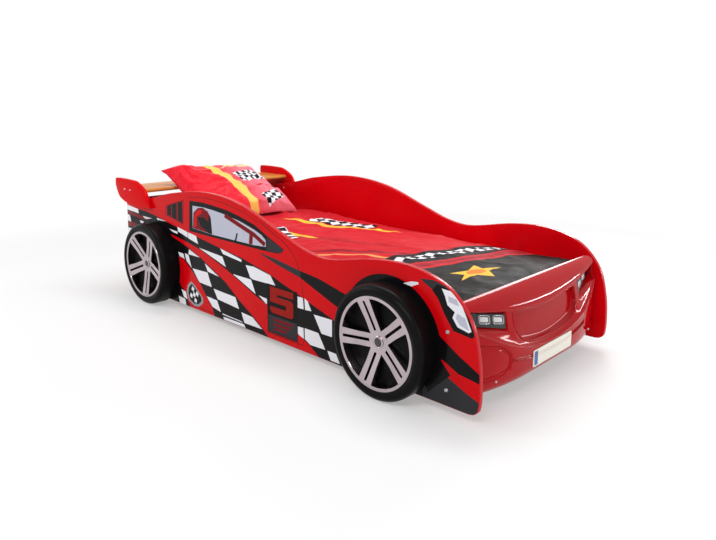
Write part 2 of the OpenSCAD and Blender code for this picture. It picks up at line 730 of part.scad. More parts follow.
rail_top = slat_top - slat_t;
beam_low = rail_top - beam_h;
bed_l = x_foot_in - x_head_in;
slat_pitch = (bed_l - 2 * end_gap - slat_w) / (slats - 1);
hanger_t = 2;
leg_spots = [x_head_in + bed_l / 3, x_head_in + 2 * bed_l / 3];

module slat_rail(side) {
    color("burlywood") translate([x_head_in, side == RIGHT ? -y_in : y_in - rail_t,
        rail_top - rail_h]) cube([bed_l, rail_t, rail_h]);
}

module centre_beam() {
    color("burlywood") translate([x_head_in + hanger_t + fit, -beam_w / 2, beam_low])
        cube([bed_l - 2 * (hanger_t + fit), beam_w, beam_h]);
}

module beam_hangers() {
    arm = 42;
    ear = 24;                               // of its back plate, beside the beam
    half = beam_w / 2 + fit;
    color("gray") for (end = [0, 1]) {
        face = end == 0 ? x_head_in : x_foot_in;
        translate([face, 0, beam_low - hanger_t]) mirror([end, 0, 0]) {
            translate([0, -half - ear, 0]) cube([hanger_t, 2 * (half + ear), arm]);
            translate([0, -half - hanger_t, 0]) cube([arm, 2 * (half + hanger_t), hanger_t]);
            for (s = [-1, 1]) translate([0, s > 0 ? half : -half - hanger_t, 0])
                cube([arm, hanger_t, arm]);
        }
    }
}

module centre_leg(x) {
    color("dimgray") translate([x, 0, pad_h]) rotate_extrude() polygon([
        [0, 0], [leg_r - 4, 0], [leg_r, 10], [leg_r, beam_low - pad_h], [0, beam_low - pad_h]]);
}

module leg_pads() {
    color("black") for (x = leg_spots) translate([x, 0, 0]) rotate_extrude() polygon([
        [0, 0], [leg_r - 1, 0], [leg_r + 1, 3], [leg_r - 1, pad_h], [0, pad_h]]);
}

module slat(i) {
    half = y_in - 6;
    color("wheat") translate([x_head_in + end_gap + i * slat_pitch, 0, rail_top])
        translate([slat_w / 2, 0, 0]) rotate([90, 0, 0]) translate([0, 0, -half])
            linear_extrude(2 * half) {
                c = slat_t / 4;
                translate([-slat_w / 2 + c, 0]) square([slat_w - 2 * c, slat_t]);
                translate([-slat_w / 2, c]) square([slat_w, slat_t - 2 * c]);
                for (s = [-1, 1], z = [c, slat_t - c])
                    translate([s * (slat_w / 2 - c), z]) circle(c, $fn = 24);
            }
}

strap_w = 28;
strap_t = 1.5;
module slat_straps() {
    color("ivory") for (s = [-1, 1])
        translate([x_head_in + end_gap, s * y_in * 0.55 - strap_w / 2, rail_top - strap_t])
            cube([(slats - 1) * slat_pitch + slat_w, strap_w, strap_t]);
}

module base_screws() {
    color("silver") {
        for (side = [RIGHT, LEFT], x = [for (k = [0:4]) mix(x_head_in + 60, x_foot_in - 60, k / 4)])
            translate([x, side * (y_in - rail_t), rail_top - rail_h / 2])
                rotate([side * 90, 0, 0]) pan_screw(rail_t + board - 5);
        for (end = [0, 1], s = [-1, 1], z = [10, 30])
            translate([end == 0 ? x_head_in + hanger_t : x_foot_in - hanger_t,
                s * (beam_w / 2 + 14), beam_low + z]) rotate([0, end == 0 ? 90 : -90, 0])
                    pan_screw(board - 2);
    }
}

// ---- Bedding ------------------------------------------------------------------------

module mattress() {
    r = 45;
    color("white") translate([0, 0, slat_top + fit]) linear_extrude(mattress_h - fit)
        translate([x_head_in + end_gap, -mattress_w / 2]) {
            translate([0, r]) square([mattress_l, mattress_w - 2 * r]);
            translate([r, 0]) square([mattress_l - 2 * r, mattress_w]);
            for (x = [r, mattress_l - r], y = [r, mattress_w - r]) translate([x, y]) circle(r);
        }
}

// A closed soft form over a grid: top and bottom are functions of two shares, 0 to 1
module soft_form(top, bottom) {
    nu = len(top) - 1;
    nv = len(top[0]) - 1;
    k = (nu + 1) * (nv + 1);
    function id(u, v) = u * (nv + 1) + v;
    quads = concat(
        [for (u = [0:nu - 1], v = [0:nv - 1])
            [id(u, v), id(u + 1, v), id(u + 1, v + 1), id(u, v + 1)]],
        [for (u = [0:nu - 1], v = [0:nv - 1])
            [k + id(u, v), k + id(u, v + 1), k + id(u + 1, v + 1), k + id(u + 1, v)]],
        [for (u = [0:nu - 1], v = [0, nv]) v == 0
            ? [id(u, 0), k + id(u, 0), k + id(u + 1, 0), id(u + 1, 0)]
            : [id(u, v), id(u + 1, v), k + id(u + 1, v), k + id(u, v)]],
        [for (u = [0, nu], v = [0:nv - 1]) u == 0
            ? [id(0, v), id(0, v + 1), k + id(0, v + 1), k + id(0, v)]
            : [id(u, v), k + id(u, v), k + id(u, v + 1), id(u, v + 1)]]);
    polyhedron([for (row = concat(top, bottom), p = row) p],
        [for (q = quads) each [[q[2], q[1], q[0]], [q[3], q[2], q[0]]]]);
}

duvet_low = mattress_top + fit;
duvet_x0 = x_head_in + duvet_back;
duvet_x1 = x_flange - fit;
duvet_hem = 6;                              // thickness of its edges
// Height of the duvet's upper face over shares of its length and width: rounded at the upper
// hem and at the sides, crowned across the bed
function duvet_z(s, w) =
    let (out = abs(2 * w - 1), hem = 1 - pow(max(0, 1 - s / 0.06), 2),
         side = 1 - pow(max(0, (out - 0.9) / 0.1), 3),
         full = mix(duvet_h, duvet_toe_h, ease(s * 1.1)) + duvet_crown * (1 - pow(out, 2.5)))
    duvet_low + duvet_hem + (full - duvet_hem) * hem * side;

module duvet() {
    nu = 22;
    nv = 14;
    half = y_in - 4;
    // shares of the width, closer together at the sides
    function row_share(v) = let (t = 2 * v / nv - 1) 0.5 + 0.5 * t * (1.35 - 0.35 * t * t);
    spots = [for (u = [0:nu]) [for (v = [0:nv]) [u / nu, row_share(v)]]];
    color([0.8, 0.1, 0.12]) soft_form(
        [for (row = spots) [for (q = row)
            [mix(duvet_x0, duvet_x1, q[0]), mix(-half, half, q[1]), duvet_z(q[0], q[1])]]],
        [for (row = spots) [for (q = row)
            [mix(duvet_x0, duvet_x1, q[0]), mix(-half, half, q[1]), duvet_low]]]);
}

// The pillow leans from the duvet onto the wing's front edge, and its right side stands higher
wing_front = wing_back + wing_d;
pillow_on_duvet = 165;                      // foot of the pillow ahead of the duvet's hem
pillow_right = 30;                          // middle of the pillow, to the right of the bed's
pillow_lift = 34;                           // rise of its right side at the headboard's end
pillow_sag = 16;
lean_foot = [duvet_x0 + pillow_on_duvet, duvet_low + duvet_h + duvet_crown + fit];
lean_nose = [wing_front - board / 2, wing_z + board / 2];
lean = atan2(lean_nose[1] - lean_foot[1], lean_nose[0] - lean_foot[0])
    - asin((board / 2 + fit) / norm(lean_nose - lean_foot));
lean_reach = norm(lean_nose - lean_foot);

module pillow() {
    nu = 14;
    nv = 14;
    function puff(s, w) = pow(max(0, 1 - pow(abs(2 * s - 1), 3)), 0.5)
        * pow(max(0, 1 - pow(abs(2 * w - 1), 3)), 0.5);
    // a point at shares s and w of the length and width, h over the leaning plane
    function spot(s, w, h) =
        let (pinch = 1 - 0.05 * (1 - pow(abs(2 * s - 1), 2)),
             side = 1 - 0.05 * (1 - pow(abs(2 * w - 1), 2)), d = pillow_l * (0.5 + (s - 0.5) * side),
             lift = pillow_lift * ease((s - 0.6) / 0.4) * pow(1 - w, 1.5))
        [lean_foot[0] + d * cos(lean) + h * sin(lean), (w - 0.5) * pillow_w * pinch - pillow_right,
         lean_foot[1] + d * sin(lean) - h * cos(lean) + lift];
    // the lower face hangs through between the duvet and the wing
    function sag(s) = pillow_sag * ease(1 - abs(s * pillow_l / lean_reach - 0.55) / 0.3);
    spots = [for (u = [nu:-1:0]) [for (v = [0:nv]) [u / nu, v / nv]]];
    color([0.85, 0.15, 0.25]) soft_form(
        [for (row = spots) [for (q = row)
            spot(q[0], q[1], duvet_hem + pillow_h * puff(q[0], q[1]))]],
        [for (row = spots) [for (q = row)
            spot(q[0], q[1], -sag(q[0]) * puff(q[0], q[1]))]]);
}

// ---- Drawing ------------------------------------------------------------------------

rear_turn = 59;                             // where the first spoke of each wheel points
front_turn = 38;
side_panel(RIGHT);  // side_panel_right
side_panel(LEFT);  // side_panel_left
headboard();
footboard();
panel_glides();
spoiler_wing();
spoiler_fin(RIGHT);  // spoiler_fin_right
spoiler_fin(LEFT);  // spoiler_fin_left
tyre(RIGHT, x_front);  // tyre_front_right
tyre(LEFT, x_front);  // tyre_front_left
tyre(RIGHT, x_rear);  // tyre_rear_right
tyre(LEFT, x_rear);  // tyre_rear_left
rim(RIGHT, x_front, front_turn);  // rim_front_right
rim(LEFT, x_front, front_turn);  // rim_front_left
rim(RIGHT, x_rear, rear_turn);  // rim_rear_right
rim(LEFT, x_rear, rear_turn);  // rim_rear_left
hub_cap(RIGHT, x_front);  // hub_cap_front_right
hub_cap(LEFT, x_front);  // hub_cap_front_left
hub_cap(RIGHT, x_rear);  // hub_cap_rear_right
hub_cap(LEFT, x_rear);  // hub_cap_rear_left
bumper_shell();
bumper_former(RIGHT);  // bumper_former_right
bumper_former(LEFT);  // bumper_former_left
bumper_batten();
headlight(RIGHT);  // headlight_right
headlight(LEFT);  // headlight_left
lamps(RIGHT);  // lamps_right
lamps(LEFT);  // lamps_left
number_plate();
slat_rail(RIGHT);  // slat_rail_right
slat_rail(LEFT);  // slat_rail_left
centre_beam();
beam_hangers();
centre_leg(leg_spots[0]);  // centre_leg_head
centre_leg(leg_spots[1]);  // centre_leg_foot
leg_pads();
slat_straps();
for (i = [0:slats - 1]) slat(i);
panel_bolts();
barrel_nuts();
fin_screws();
wheel_screws();
bumper_screws();
base_screws();
mattress();
duvet();
pillow();
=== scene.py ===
"""Looks of a children's racing-car bed: printed side panels, plated rims, moulded bumper, bedding.

Lengths are in millimetres in the shape functions and in centimetres in the printed design;
everything is scaled to metres when a mesh is made.
"""
import math

import bmesh
import bpy
import numpy as np
from mathutils import Matrix, Vector, noise
from mathutils.geometry import delaunay_2d_cdt


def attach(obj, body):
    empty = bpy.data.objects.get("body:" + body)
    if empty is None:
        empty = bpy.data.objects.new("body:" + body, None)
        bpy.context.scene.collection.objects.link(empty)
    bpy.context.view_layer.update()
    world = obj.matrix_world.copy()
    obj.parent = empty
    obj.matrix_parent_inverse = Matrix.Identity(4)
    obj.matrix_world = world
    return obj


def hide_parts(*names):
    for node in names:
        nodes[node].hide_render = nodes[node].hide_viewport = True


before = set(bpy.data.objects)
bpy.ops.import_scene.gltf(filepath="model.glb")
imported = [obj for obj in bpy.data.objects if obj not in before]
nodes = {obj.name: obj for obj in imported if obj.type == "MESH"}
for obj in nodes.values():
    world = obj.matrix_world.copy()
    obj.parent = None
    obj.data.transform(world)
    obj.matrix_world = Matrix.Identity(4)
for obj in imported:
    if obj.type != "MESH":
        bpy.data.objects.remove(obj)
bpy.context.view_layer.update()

# ---- Sizes in millimetres, as in the construction ----
X_TAIL, X_TIP = -1143, 1143
X_HEAD_OUT, X_HEAD_IN, X_FOOT_IN, X_FOOT_OUT = -1028, -1010, 1006, 1024
X_REAR, X_FRONT = -779, 769  # the wheels' middles
X_PANEL_TAIL, X_NOSE = -1062, 1141
Y_IN, Y_OUT, Y_FIN, BOARD = 458, 476, 494, 18
WHEEL_R, WHEEL_DEPTH, RIM_R, RING_W, WELL_D, SKIN = 202, 79, 165, 13, 39, 4
WING_BACK, WING_FRONT, WING_Z = X_TAIL + 22, X_TAIL + 257, 540
PLATE_L, PLATE_H = 288, 60
MATTRESS_TOP = 340
SIDES = ((-1, "right"), (1, "left"))


# ---- Small mathematics ----
def mix(a, b, t):
    return a + (b - a) * t


def spread(a, b, n):
    return [mix(a, b, i / n) for i in range(n + 1)]


def crowded(n, k=0.3):
    """Shares from 0 to 1 that lie closer together towards both ends."""
    return [0.5 + 0.5 * t * (1 + k - k * t * t) for t in spread(-1, 1, n)]


def ease(t):
    c = min(1.0, max(0.0, t))
    return c * c * (3 - 2 * c)


def arc(x, y, r, degrees, high=None):
    """Points at the given angles of a circle, or of an ellipse with its own radius upwards."""
    high = r if high is None else high
    return [(x + r * math.cos(a), y + high * math.sin(a)) for a in map(math.radians, degrees)]


def circle(x, y, r, n=48):
    return arc(x, y, r, [360 * i / n for i in range(n)])


def round_box(x0, y0, x1, y1, r, n=5):
    corners = ((x1 - r, y1 - r, 0), (x0 + r, y1 - r, 90), (x0 + r, y0 + r, 180), (x1 - r, y0 + r, 270))
    return [p for x, y, a in corners for p in arc(x, y, r, spread(a, a + 90, n))]


def smooth_curve(knots, steps):
    """Cubic stretches through the knots, whose tangents follow the chords."""
    p = [np.array(k, float) for k in knots]
    last = len(p) - 1
    chord = [np.linalg.norm(p[i + 1] - p[i]) for i in range(last)]
    time = np.concatenate([[0], np.cumsum(chord)])
    slope = []
    for i in range(last + 1):
        a, b = max(0, i - 1), min(last, i + 1)
        slope.append((p[b] - p[a]) / (time[b] - time[a]))
    out = []
    for i in range(last):
        for s in range(steps):
            t, h = s / steps, chord[i]
            out.append(p[i] * (2 * t**3 - 3 * t * t + 1) + slope[i] * h * (t**3 - 2 * t * t + t)
                       + p[i + 1] * (3 * t * t - 2 * t**3) + slope[i + 1] * h * (t**3 - t * t))
    out.append(p[-1])
    return [tuple(q) for q in out]


def area(poly):
    return 0.5 * sum(poly[i - 1][0] * poly[i][1] - poly[i][0] * poly[i - 1][1] for i in range(len(poly)))


def ccw(poly):
    return list(poly) if area(poly) > 0 else list(poly)[::-1]


def corner(a, p, b, least):
    """How a corner p between a and b moves when its sides move outwards by 1; least limits the spike."""
    n1 = Vector((p[1] - a[1], a[0] - p[0])).normalized()
    n2 = Vector((b[1] - p[1], p[0] - b[0])).normalized()
    n = n1 + n2
    n = n.normalized() if n.length > 1e-6 else n1
    return n / max(least, n.dot(n1))


def grown(poly, d):
    """The outline moved outwards by d."""
    poly = ccw(poly)
    moves = [corner(poly[i - 1], p, poly[(i + 1) % len(poly)], 0.5) for i, p in enumerate(poly)]
    return [(p[0] + n.x * d, p[1] + n.y * d) for p, n in zip(poly, moves)]


# ---- Materials ----
def srgb(r, g, b):
    """A screen colour, 0 to 255, as the linear one that a shader takes."""
    shares = (r / 255, g / 255, b / 255)
    return tuple(c / 12.92 if c <= 0.04 else ((c + 0.055) / 1.055) ** 2.4 for c in shares) + (1,)


def scaled(colour, share):
    return tuple(c * share for c in colour[:3]) + (1,)


class Tree:
    """A material's nodes, with short ways to add and join them."""

    def __init__(self, name):
        self.mat = bpy.data.materials.new(name)
        self.mat.use_nodes = True
        self.nodes, self.links = self.mat.node_tree.nodes, self.mat.node_tree.links
        self.shader = self.nodes["Principled BSDF"]
        self.where = self.add("ShaderNodeTexCoord").outputs["Object"]

    def add(self, kind, **values):
        n = self.nodes.new(kind)
        for k, v in values.items():
            setattr(n, k, v)
        return n

    def put(self, value, socket):
        if isinstance(value, bpy.types.NodeSocket):
            self.links.new(value, socket)
        else:
            socket.default_value = value

    def maths(self, op, a, b=0.0):
        n = self.add("ShaderNodeMath", operation=op)
        self.put(a, n.inputs[0])
        self.put(b, n.inputs[1])
        return n.outputs[0]

    def vector(self, op, a, b=(0, 0, 0)):
        n = self.add("ShaderNodeVectorMath", operation=op)
        self.put(a, n.inputs[0])
        self.put(b, n.inputs[1])
        return n.outputs["Value"] if op in ("DOT_PRODUCT", "LENGTH") else n.outputs["Vector"]

    def noise(self, scale, detail=3.0, rough=0.5, stretch=None):
        w = self.where
        if stretch:
            w = self.vector("MULTIPLY", w, stretch)
        n = self.add("ShaderNodeTexNoise")
        self.put(w, n.inputs["Vector"])
        n.inputs["Scale"].default_value = scale
        n.inputs["Detail"].default_value = detail
        n.inputs["Roughness"].default_value = rough
        return n.outputs["Fac"]

    def ramp(self, fac, low, high, a=0.3, b=0.7):
        n = self.add("ShaderNodeMapRange")
        self.put(fac, n.inputs["Value"])
        for key, v in (("From Min", a), ("From Max", b), ("To Min", low), ("To Max", high)):
            self.put(v, n.inputs[key])
        return n.outputs["Result"]

    def blend(self, fac, a, b):
        n = self.add("ShaderNodeMix", data_type="RGBA", blend_type="MIX")
        self.put(fac, n.inputs[0])
        self.put(a, n.inputs[6])
        self.put(b, n.inputs[7])
        return n.outputs[2]

    def bump(self, height, strength, distance, over=None):
        n = self.add("ShaderNodeBump")
        n.inputs["Strength"].default_value = strength
        n.inputs["Distance"].default_value = distance
        self.put(height, n.inputs["Height"])
        if over is not None:
            self.put(over, n.inputs["Normal"])
        return n.outputs["Normal"]

    def set(self, **values):
        names = {"colour": "Base Color", "rough": "Roughness", "metal": "Metallic", "normal": "Normal",
                 "spec": "Specular IOR Level", "sheen": "Sheen Weight", "sheen_rough": "Sheen Roughness"}
        for k, v in values.items():
            self.put(v, self.shader.inputs[names[k]])
        return self.mat


# Specular levels are low, because the surroundings that gloss shows are white all round.
def lacquer(name, colour, rough=0.14, spec=0.08):
    """Printed or sprayed board under gloss lacquer: a faint orange peel, and wiped patches."""
    t = Tree(name)
    tone = t.blend(t.ramp(t.noise(3.0, 4), 0, 1), colour, scaled(colour, 0.9))
    return t.set(colour=tone, rough=t.ramp(t.noise(9, 5), rough * 0.75, rough * 1.45), spec=spec,
                 normal=t.bump(t.noise(260, 2), 0.05, 0.0006))


def plastic(name, colour, rough=0.12, spec=0.5, scale=60.0):
    """Thermoformed sheet: a slow waviness, dust-dulled patches and fine pores."""
    t = Tree(name)
    slow = t.bump(t.noise(scale * 0.15, 2), 0.08, 0.004)
    dusty = tuple(min(1, c * 1.15 + 0.002) for c in colour[:3]) + (1,)
    return t.set(colour=t.blend(t.ramp(t.noise(5, 4), 0, 1), colour, dusty), spec=spec,
                 rough=t.ramp(t.noise(12, 5), rough * 0.8, rough * 1.5),
                 normal=t.bump(t.noise(scale * 14, 2), 0.06, 0.0004, slow))


def metal(name, colour, rough=0.1, brushed=0.0):
    t = Tree(name)
    streak = t.noise(40, 6, stretch=(1, 1, 22)) if brushed else t.noise(16, 5)
    return t.set(colour=t.blend(t.ramp(streak, 0, 1), colour, scaled(colour, 0.82)), metal=1.0,
                 rough=t.ramp(streak, rough * 0.7, rough * 1.6),
                 normal=t.bump(streak, 0.12 + brushed, 0.0004))


def timber(name, light, dark, along, rough=0.5):
    """Planed wood with its grain along an axis."""
    t = Tree(name)
    stretch = tuple(0.55 if axis == along else 9.0 for axis in "xyz")
    rings = t.noise(2.6, 6, 0.62, stretch=stretch)
    fine = t.noise(14, 4, 0.7, stretch=stretch)
    tone = t.blend(t.ramp(rings, 0, 1, 0.35, 0.65), light, dark)
    tone = t.blend(t.ramp(fine, 0, 0.35, 0.45, 0.75), tone, scaled(dark, 0.6))
    return t.set(colour=tone, rough=t.ramp(fine, rough * 0.85, rough * 1.2),
                 normal=t.bump(t.maths("ADD", rings, fine), 0.25, 0.0008))


def chipboard(name, colour):
    t = Tree(name)
    chips = t.noise(180, 5, 0.7)
    return t.set(colour=t.blend(t.ramp(chips, 0, 1), colour, scaled(colour, 0.62)), rough=0.75,
                 normal=t.bump(chips, 0.3, 0.0006))


def weave(t, pitch, over=None, strength=0.25):
    """Height of a plain weave: two sets of threads over two object coordinates."""
    split = t.add("ShaderNodeSeparateXYZ")
    t.put(t.where, split.inputs[0])
    waves = [t.maths("SINE", t.maths("MULTIPLY", split.outputs[i], 2 * math.pi / pitch)) for i in (0, 1)]
    return t.bump(t.maths("MULTIPLY", waves[0], waves[1]), strength, pitch * 0.3, over)


class Print:
    """A colour made of flat shapes over two object coordinates in centimetres, the later ones on top."""

    def __init__(self, tree, ground):
        self.t, self.colour = tree, ground
        split = tree.add("ShaderNodeSeparateXYZ")
        tree.put(tree.where, split.inputs[0])
        self.x, self.y = (tree.maths("MULTIPLY", split.outputs[i], 100) for i in (0, 1))
        join = tree.add("ShaderNodeCombineXYZ")
        for value, socket in zip((self.x, self.y, 1), join.inputs):
            tree.put(value, socket)
        self.p = join.outputs[0]

    def polygon(self, points):
        """1 inside a convex outline."""
        points, least = ccw(points), None
        for i, p in enumerate(points):
            q = points[(i + 1) % len(points)]
            n = Vector((p[1] - q[1], q[0] - p[0])).normalized()
            d = self.t.vector("DOT_PRODUCT", self.p, (n.x, n.y, -(n.x * p[0] + n.y * p[1])))
            least = d if least is None else self.t.maths("MINIMUM", least, d)
        return self.t.maths("GREATER_THAN", least, 0.0)

    def disc(self, x, y, r, squash=1.0):
        d = self.t.vector("SUBTRACT", self.p, (x, y, 1))
        d = self.t.vector("MULTIPLY", d, (1, squash, 0))
        return self.t.maths("LESS_THAN", self.t.vector("LENGTH", d), r)

    def swoosh(self, x0, x1, start, bend, rise, width):
        """A tapering curved band from x0 to x1: its middle starts at y = start and bends away."""
        maths = self.t.maths
        s = maths("DIVIDE", maths("SUBTRACT", self.x, x0), x1 - x0)
        curve = maths("ADD", maths("MULTIPLY", s, rise), maths("MULTIPLY", maths("MULTIPLY", s, s), bend))
        half = maths("MULTIPLY", maths("MULTIPLY", maths("SUBTRACT", 1.0, s), s), width * 2)
        off = maths("ABSOLUTE", maths("SUBTRACT", self.y, maths("ADD", start, curve)))
        return maths("LESS_THAN", off, half)

    def checks(self, size, turn, a, b):
        m = self.t.add("ShaderNodeMapping")
        self.t.put(self.p, m.inputs["Vector"])
        m.inputs["Rotation"].default_value = (0, 0, math.radians(turn))
        c = self.t.add("ShaderNodeTexChecker")
        self.t.put(m.outputs[0], c.inputs["Vector"])
        c.inputs["Scale"].default_value = 1 / size
        c.inputs["Color1"].default_value, c.inputs["Color2"].default_value = a, b
        return c.outputs["Color"]

    def lay(self, mask, colour):
        self.colour = self.t.blend(mask, self.colour, colour)


RED, DARK_RED = srgb(206, 4, 14), srgb(122, 8, 20)
BLACK, GREY, WHITE = srgb(14, 12, 14), srgb(50, 50, 54), srgb(232, 232, 238)
YELLOW, ORANGE = srgb(236, 186, 60), srgb(214, 120, 34)
PINE_LIGHT, PINE_DARK = srgb(222, 190, 138), srgb(192, 148, 92)

PANEL = {
    "red": lacquer("panel red gloss", RED),
    "black": lacquer("panel black gloss", BLACK, spec=0.1),
    "grey": lacquer("panel grey gloss", GREY),
    "white": lacquer("panel white gloss", WHITE),
    "glass": lacquer("printed window", srgb(186, 188, 204)),
    "wine": lacquer("panel dark red", DARK_RED),
    "number": lacquer("number red", srgb(152, 18, 8)),
    "maroon": lacquer("panel maroon black", srgb(22, 8, 9)),
    "steel": lacquer("printed steel", srgb(150, 152, 156)),
    "edge": lacquer("panel edge red", srgb(198, 14, 26), rough=0.2, spec=0.2),
    "inner": lacquer("panel inner red", srgb(216, 2, 16), rough=0.25, spec=0.06)}
BOARD_RED = lacquer("end board red", srgb(176, 10, 20), rough=0.25)
FIN_RED = lacquer("fin red gloss", srgb(210, 4, 12), spec=0.03)
# The wing's amber is partly its own colour and partly painted reflection: the white that a glossy board
# reflects, laid in as a golden tone.
AMBER_AND_PAINTED_REFLECTION = lacquer("wing amber with painted reflection", srgb(200, 128, 58), rough=0.2, spec=0.05)
TYRE = plastic("tyre black gloss", srgb(12, 10, 11), rough=0.3, spec=0.06)
# The well is the tyre's own black plastic, made darker than the tyre as painted shade in the deep recess
# behind the rim.
WELL_BLACK_WITH_PAINTED_SHADE = plastic("wheel well black with painted shade", srgb(6, 6, 7), rough=0.3, spec=0.06)
# The chrome's rose tint is painted reflection of the red bed round the wheels.
CHROME_WITH_PAINTED_ROSE_REFLECTION = metal("rim chrome with painted rose reflection", srgb(188, 176, 180), rough=0.08)
CAP = plastic("hub cap black", srgb(44, 44, 48), rough=0.18)
BUMPER = plastic("bumper red gloss", srgb(166, 3, 12), rough=0.06, spec=0.13, scale=30)
LIGHT_BLACK = plastic("headlight black", srgb(16, 16, 18))
BEZEL = metal("lamp bezel", srgb(176, 180, 186), rough=0.16)
LAMP = plastic("lamp frosted", srgb(206, 206, 204), rough=0.16, spec=0.6)
PLATE = plastic("plate ivory", srgb(226, 224, 212), rough=0.3)
PLATE_BLUE = plastic("plate blue", srgb(40, 92, 160), rough=0.3)
RAW = chipboard("raw fibreboard", srgb(186, 150, 108))
PINE = timber("pine along", PINE_LIGHT, PINE_DARK, "x")
PINE_Y = timber("pine across", PINE_LIGHT, PINE_DARK, "y")
BIRCH = timber("birch slat", srgb(230, 206, 164), srgb(206, 172, 122), "y", rough=0.4)
PAINTED = plastic("grey powder coat", srgb(96, 98, 102), rough=0.45, scale=120)
ZINC = metal("zinc", srgb(190, 192, 196), rough=0.22, brushed=0.2)
RUBBER = plastic("rubber", srgb(26, 26, 26), rough=0.7, spec=0.2)
GLIDE = plastic("glide plastic", srgb(40, 40, 42), rough=0.5)


# ---- Meshes ----
def piece(name, verts, faces, mats, kinds=None, slot=None, replaces=None, sharp=38):
    """A mesh in millimetres becomes a piece in metres on the bed."""
    me = bpy.data.meshes.new(name)
    me.from_pydata([Vector(v) * 0.001 for v in verts], [], faces)
    for m in mats:
        me.materials.append(m)
    if kinds is not None:
        me.polygons.foreach_set("material_index", kinds)
    bm = bmesh.new()
    bm.from_mesh(me)
    bmesh.ops.recalc_face_normals(bm, faces=bm.faces)
    for f in bm.faces:
        f.smooth = True
    for e in bm.edges:
        if len(e.link_faces) == 2:
            e.smooth = e.calc_face_angle(0) < math.radians(sharp)
    bm.to_mesh(me)
    bm.free()
    me.update()
    o = bpy.data.objects.new(name, me)
    bpy.context.scene.collection.objects.link(o)
    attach(o, "root")
    if replaces:
        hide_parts(replaces)
    return o


def flat_regions(outline, holes=(), regions=(), keep=None):
    """Triangles of a flat outline, cut along the borders of the regions laid on it.
    Gives the points, the triangles and for each the number of its topmost region, or -1."""
    pts, loops = [], []
    for poly in [outline, *holes, *regions]:
        start = len(pts)
        pts += [Vector(p) for p in ccw(poly)]
        loops.append(list(range(start, len(pts))))
    v, _, f, _, _, origin = delaunay_2d_cdt(pts, [], loops, 1, 1e-5, True)
    tris, kinds = [], []
    for tri, src in zip(f, origin):
        if 0 not in src or any(1 <= s <= len(holes) for s in src):
            continue
        top = max(src) - 1 - len(holes)
        if keep and not keep([s - 1 - len(holes) for s in src]):
            continue
        tris.append(list(tri))
        kinds.append(top if top >= 0 else -1)
    return [tuple(p) for p in v], tris, kinds


def slab(name, plan, thick, bevel, place, mats, front=None, edge=0, back=0, rings=3, **more):
    """A board cut from a plan of triangles: coloured front, rounded edges, plain back.
    place(u, v, w) sets a point of the plan at a depth w behind the front."""
    pts, tris, kinds = plan
    rim = {}
    for t in tris:
        for a, b in zip(t, t[1:] + t[:1]):
            if (b, a) in rim:
                del rim[(b, a)]
            else:
                rim[(a, b)] = True
    after = {a: b for a, b in rim}
    before = {b: a for a, b in rim}
    used = sorted({i for t in tris for i in t})
    index = {i: k for k, i in enumerate(used)}
    base = len(used)
    verts = [place(*pts[i], w) for w in (0, thick) for i in used]
    faces = [[index[i] for i in t] for t in tris] + [[base + index[i] for i in t[::-1]] for t in tris]
    kind = [front[k] if front else 0 for k in kinds] + [back] * len(tris)
    rows = [(bevel * math.sin(a), bevel * (1 - math.cos(a))) for a in spread(0, math.pi / 2, rings)[1:]]
    rows += [(out, thick - w) for out, w in reversed(rows)]
    chains = {}
    for i in after:
        n = corner(pts[before[i]], pts[i], pts[after[i]], 0.6)
        chains[i] = [index[i], *range(len(verts), len(verts) + len(rows)), base + index[i]]
        verts += [place(pts[i][0] + n.x * out, pts[i][1] + n.y * out, w) for out, w in rows]
    for i, j in after.items():
        faces += [list(q) for q in zip(chains[j], chains[i], chains[i][1:], chains[j][1:])]
    kind += [edge] * (len(faces) - len(kind))
    return piece(name, verts, faces, mats, kind, **more)


def lathe(name, profile, place, mats, kinds, n=160, **more):
    """A closed profile of (radius, height) turned about an axis; kinds names each stretch's material."""
    verts, faces, kind, ids = [], [], [], []
    for r, h in profile:
        count = n if r else 1
        ids.append([len(verts) + i % count for i in range(n)])
        verts += [place(x, y, h) for x, y in circle(0, 0, r, count)]
    for k, a in enumerate(ids):
        b = ids[(k + 1) % len(ids)]
        if a[0] == a[-1] and b[0] == b[-1]:
            continue
        for i in range(n):
            j = (i + 1) % n
            faces.append(list(dict.fromkeys((a[i], a[j], b[j], b[i]))))
            kind.append(kinds[k])
    return piece(name, verts, faces, mats, kind, **more)


def two_skins(name, top, bottom, mats, **more):
    """A closed form from two grids of points, joined along their four borders."""
    nu, nv = len(top) - 1, len(top[0]) - 1
    k = (nu + 1) * (nv + 1)

    def at(u, v):
        return u * (nv + 1) + v
    faces = []
    for u in range(nu):
        for v in range(nv):
            q = [at(u, v), at(u + 1, v), at(u + 1, v + 1), at(u, v + 1)]
            faces += [q, [k + x for x in q[::-1]]]
    borders = [(at(u, v), at(u + 1, v)) for u in range(nu) for v in (0, nv)]
    borders += [(at(u, v), at(u, v + 1)) for v in range(nv) for u in (0, nu)]
    faces += [[a, b, k + b, k + a] for a, b in borders]
    return piece(name, [p for grid in (top, bottom) for row in grid for p in row], faces, mats, **more)


def hoops(name, rings, mats, capped=False, **more):
    """A skin over rings of points, which close into a loop or have a flat cap on both ends."""
    n, count = len(rings[0]), len(rings)
    faces = []
    for i in range(count - capped):
        a, b = i * n, (i + 1) % count * n
        faces += [[a + k, b + k, b + (k + 1) % n, a + (k + 1) % n] for k in range(n)]
    if capped:
        faces += [list(range(n)), list(range(count * n - n, count * n))]
    return piece(name, [p for ring in rings for p in ring], faces, mats, **more)


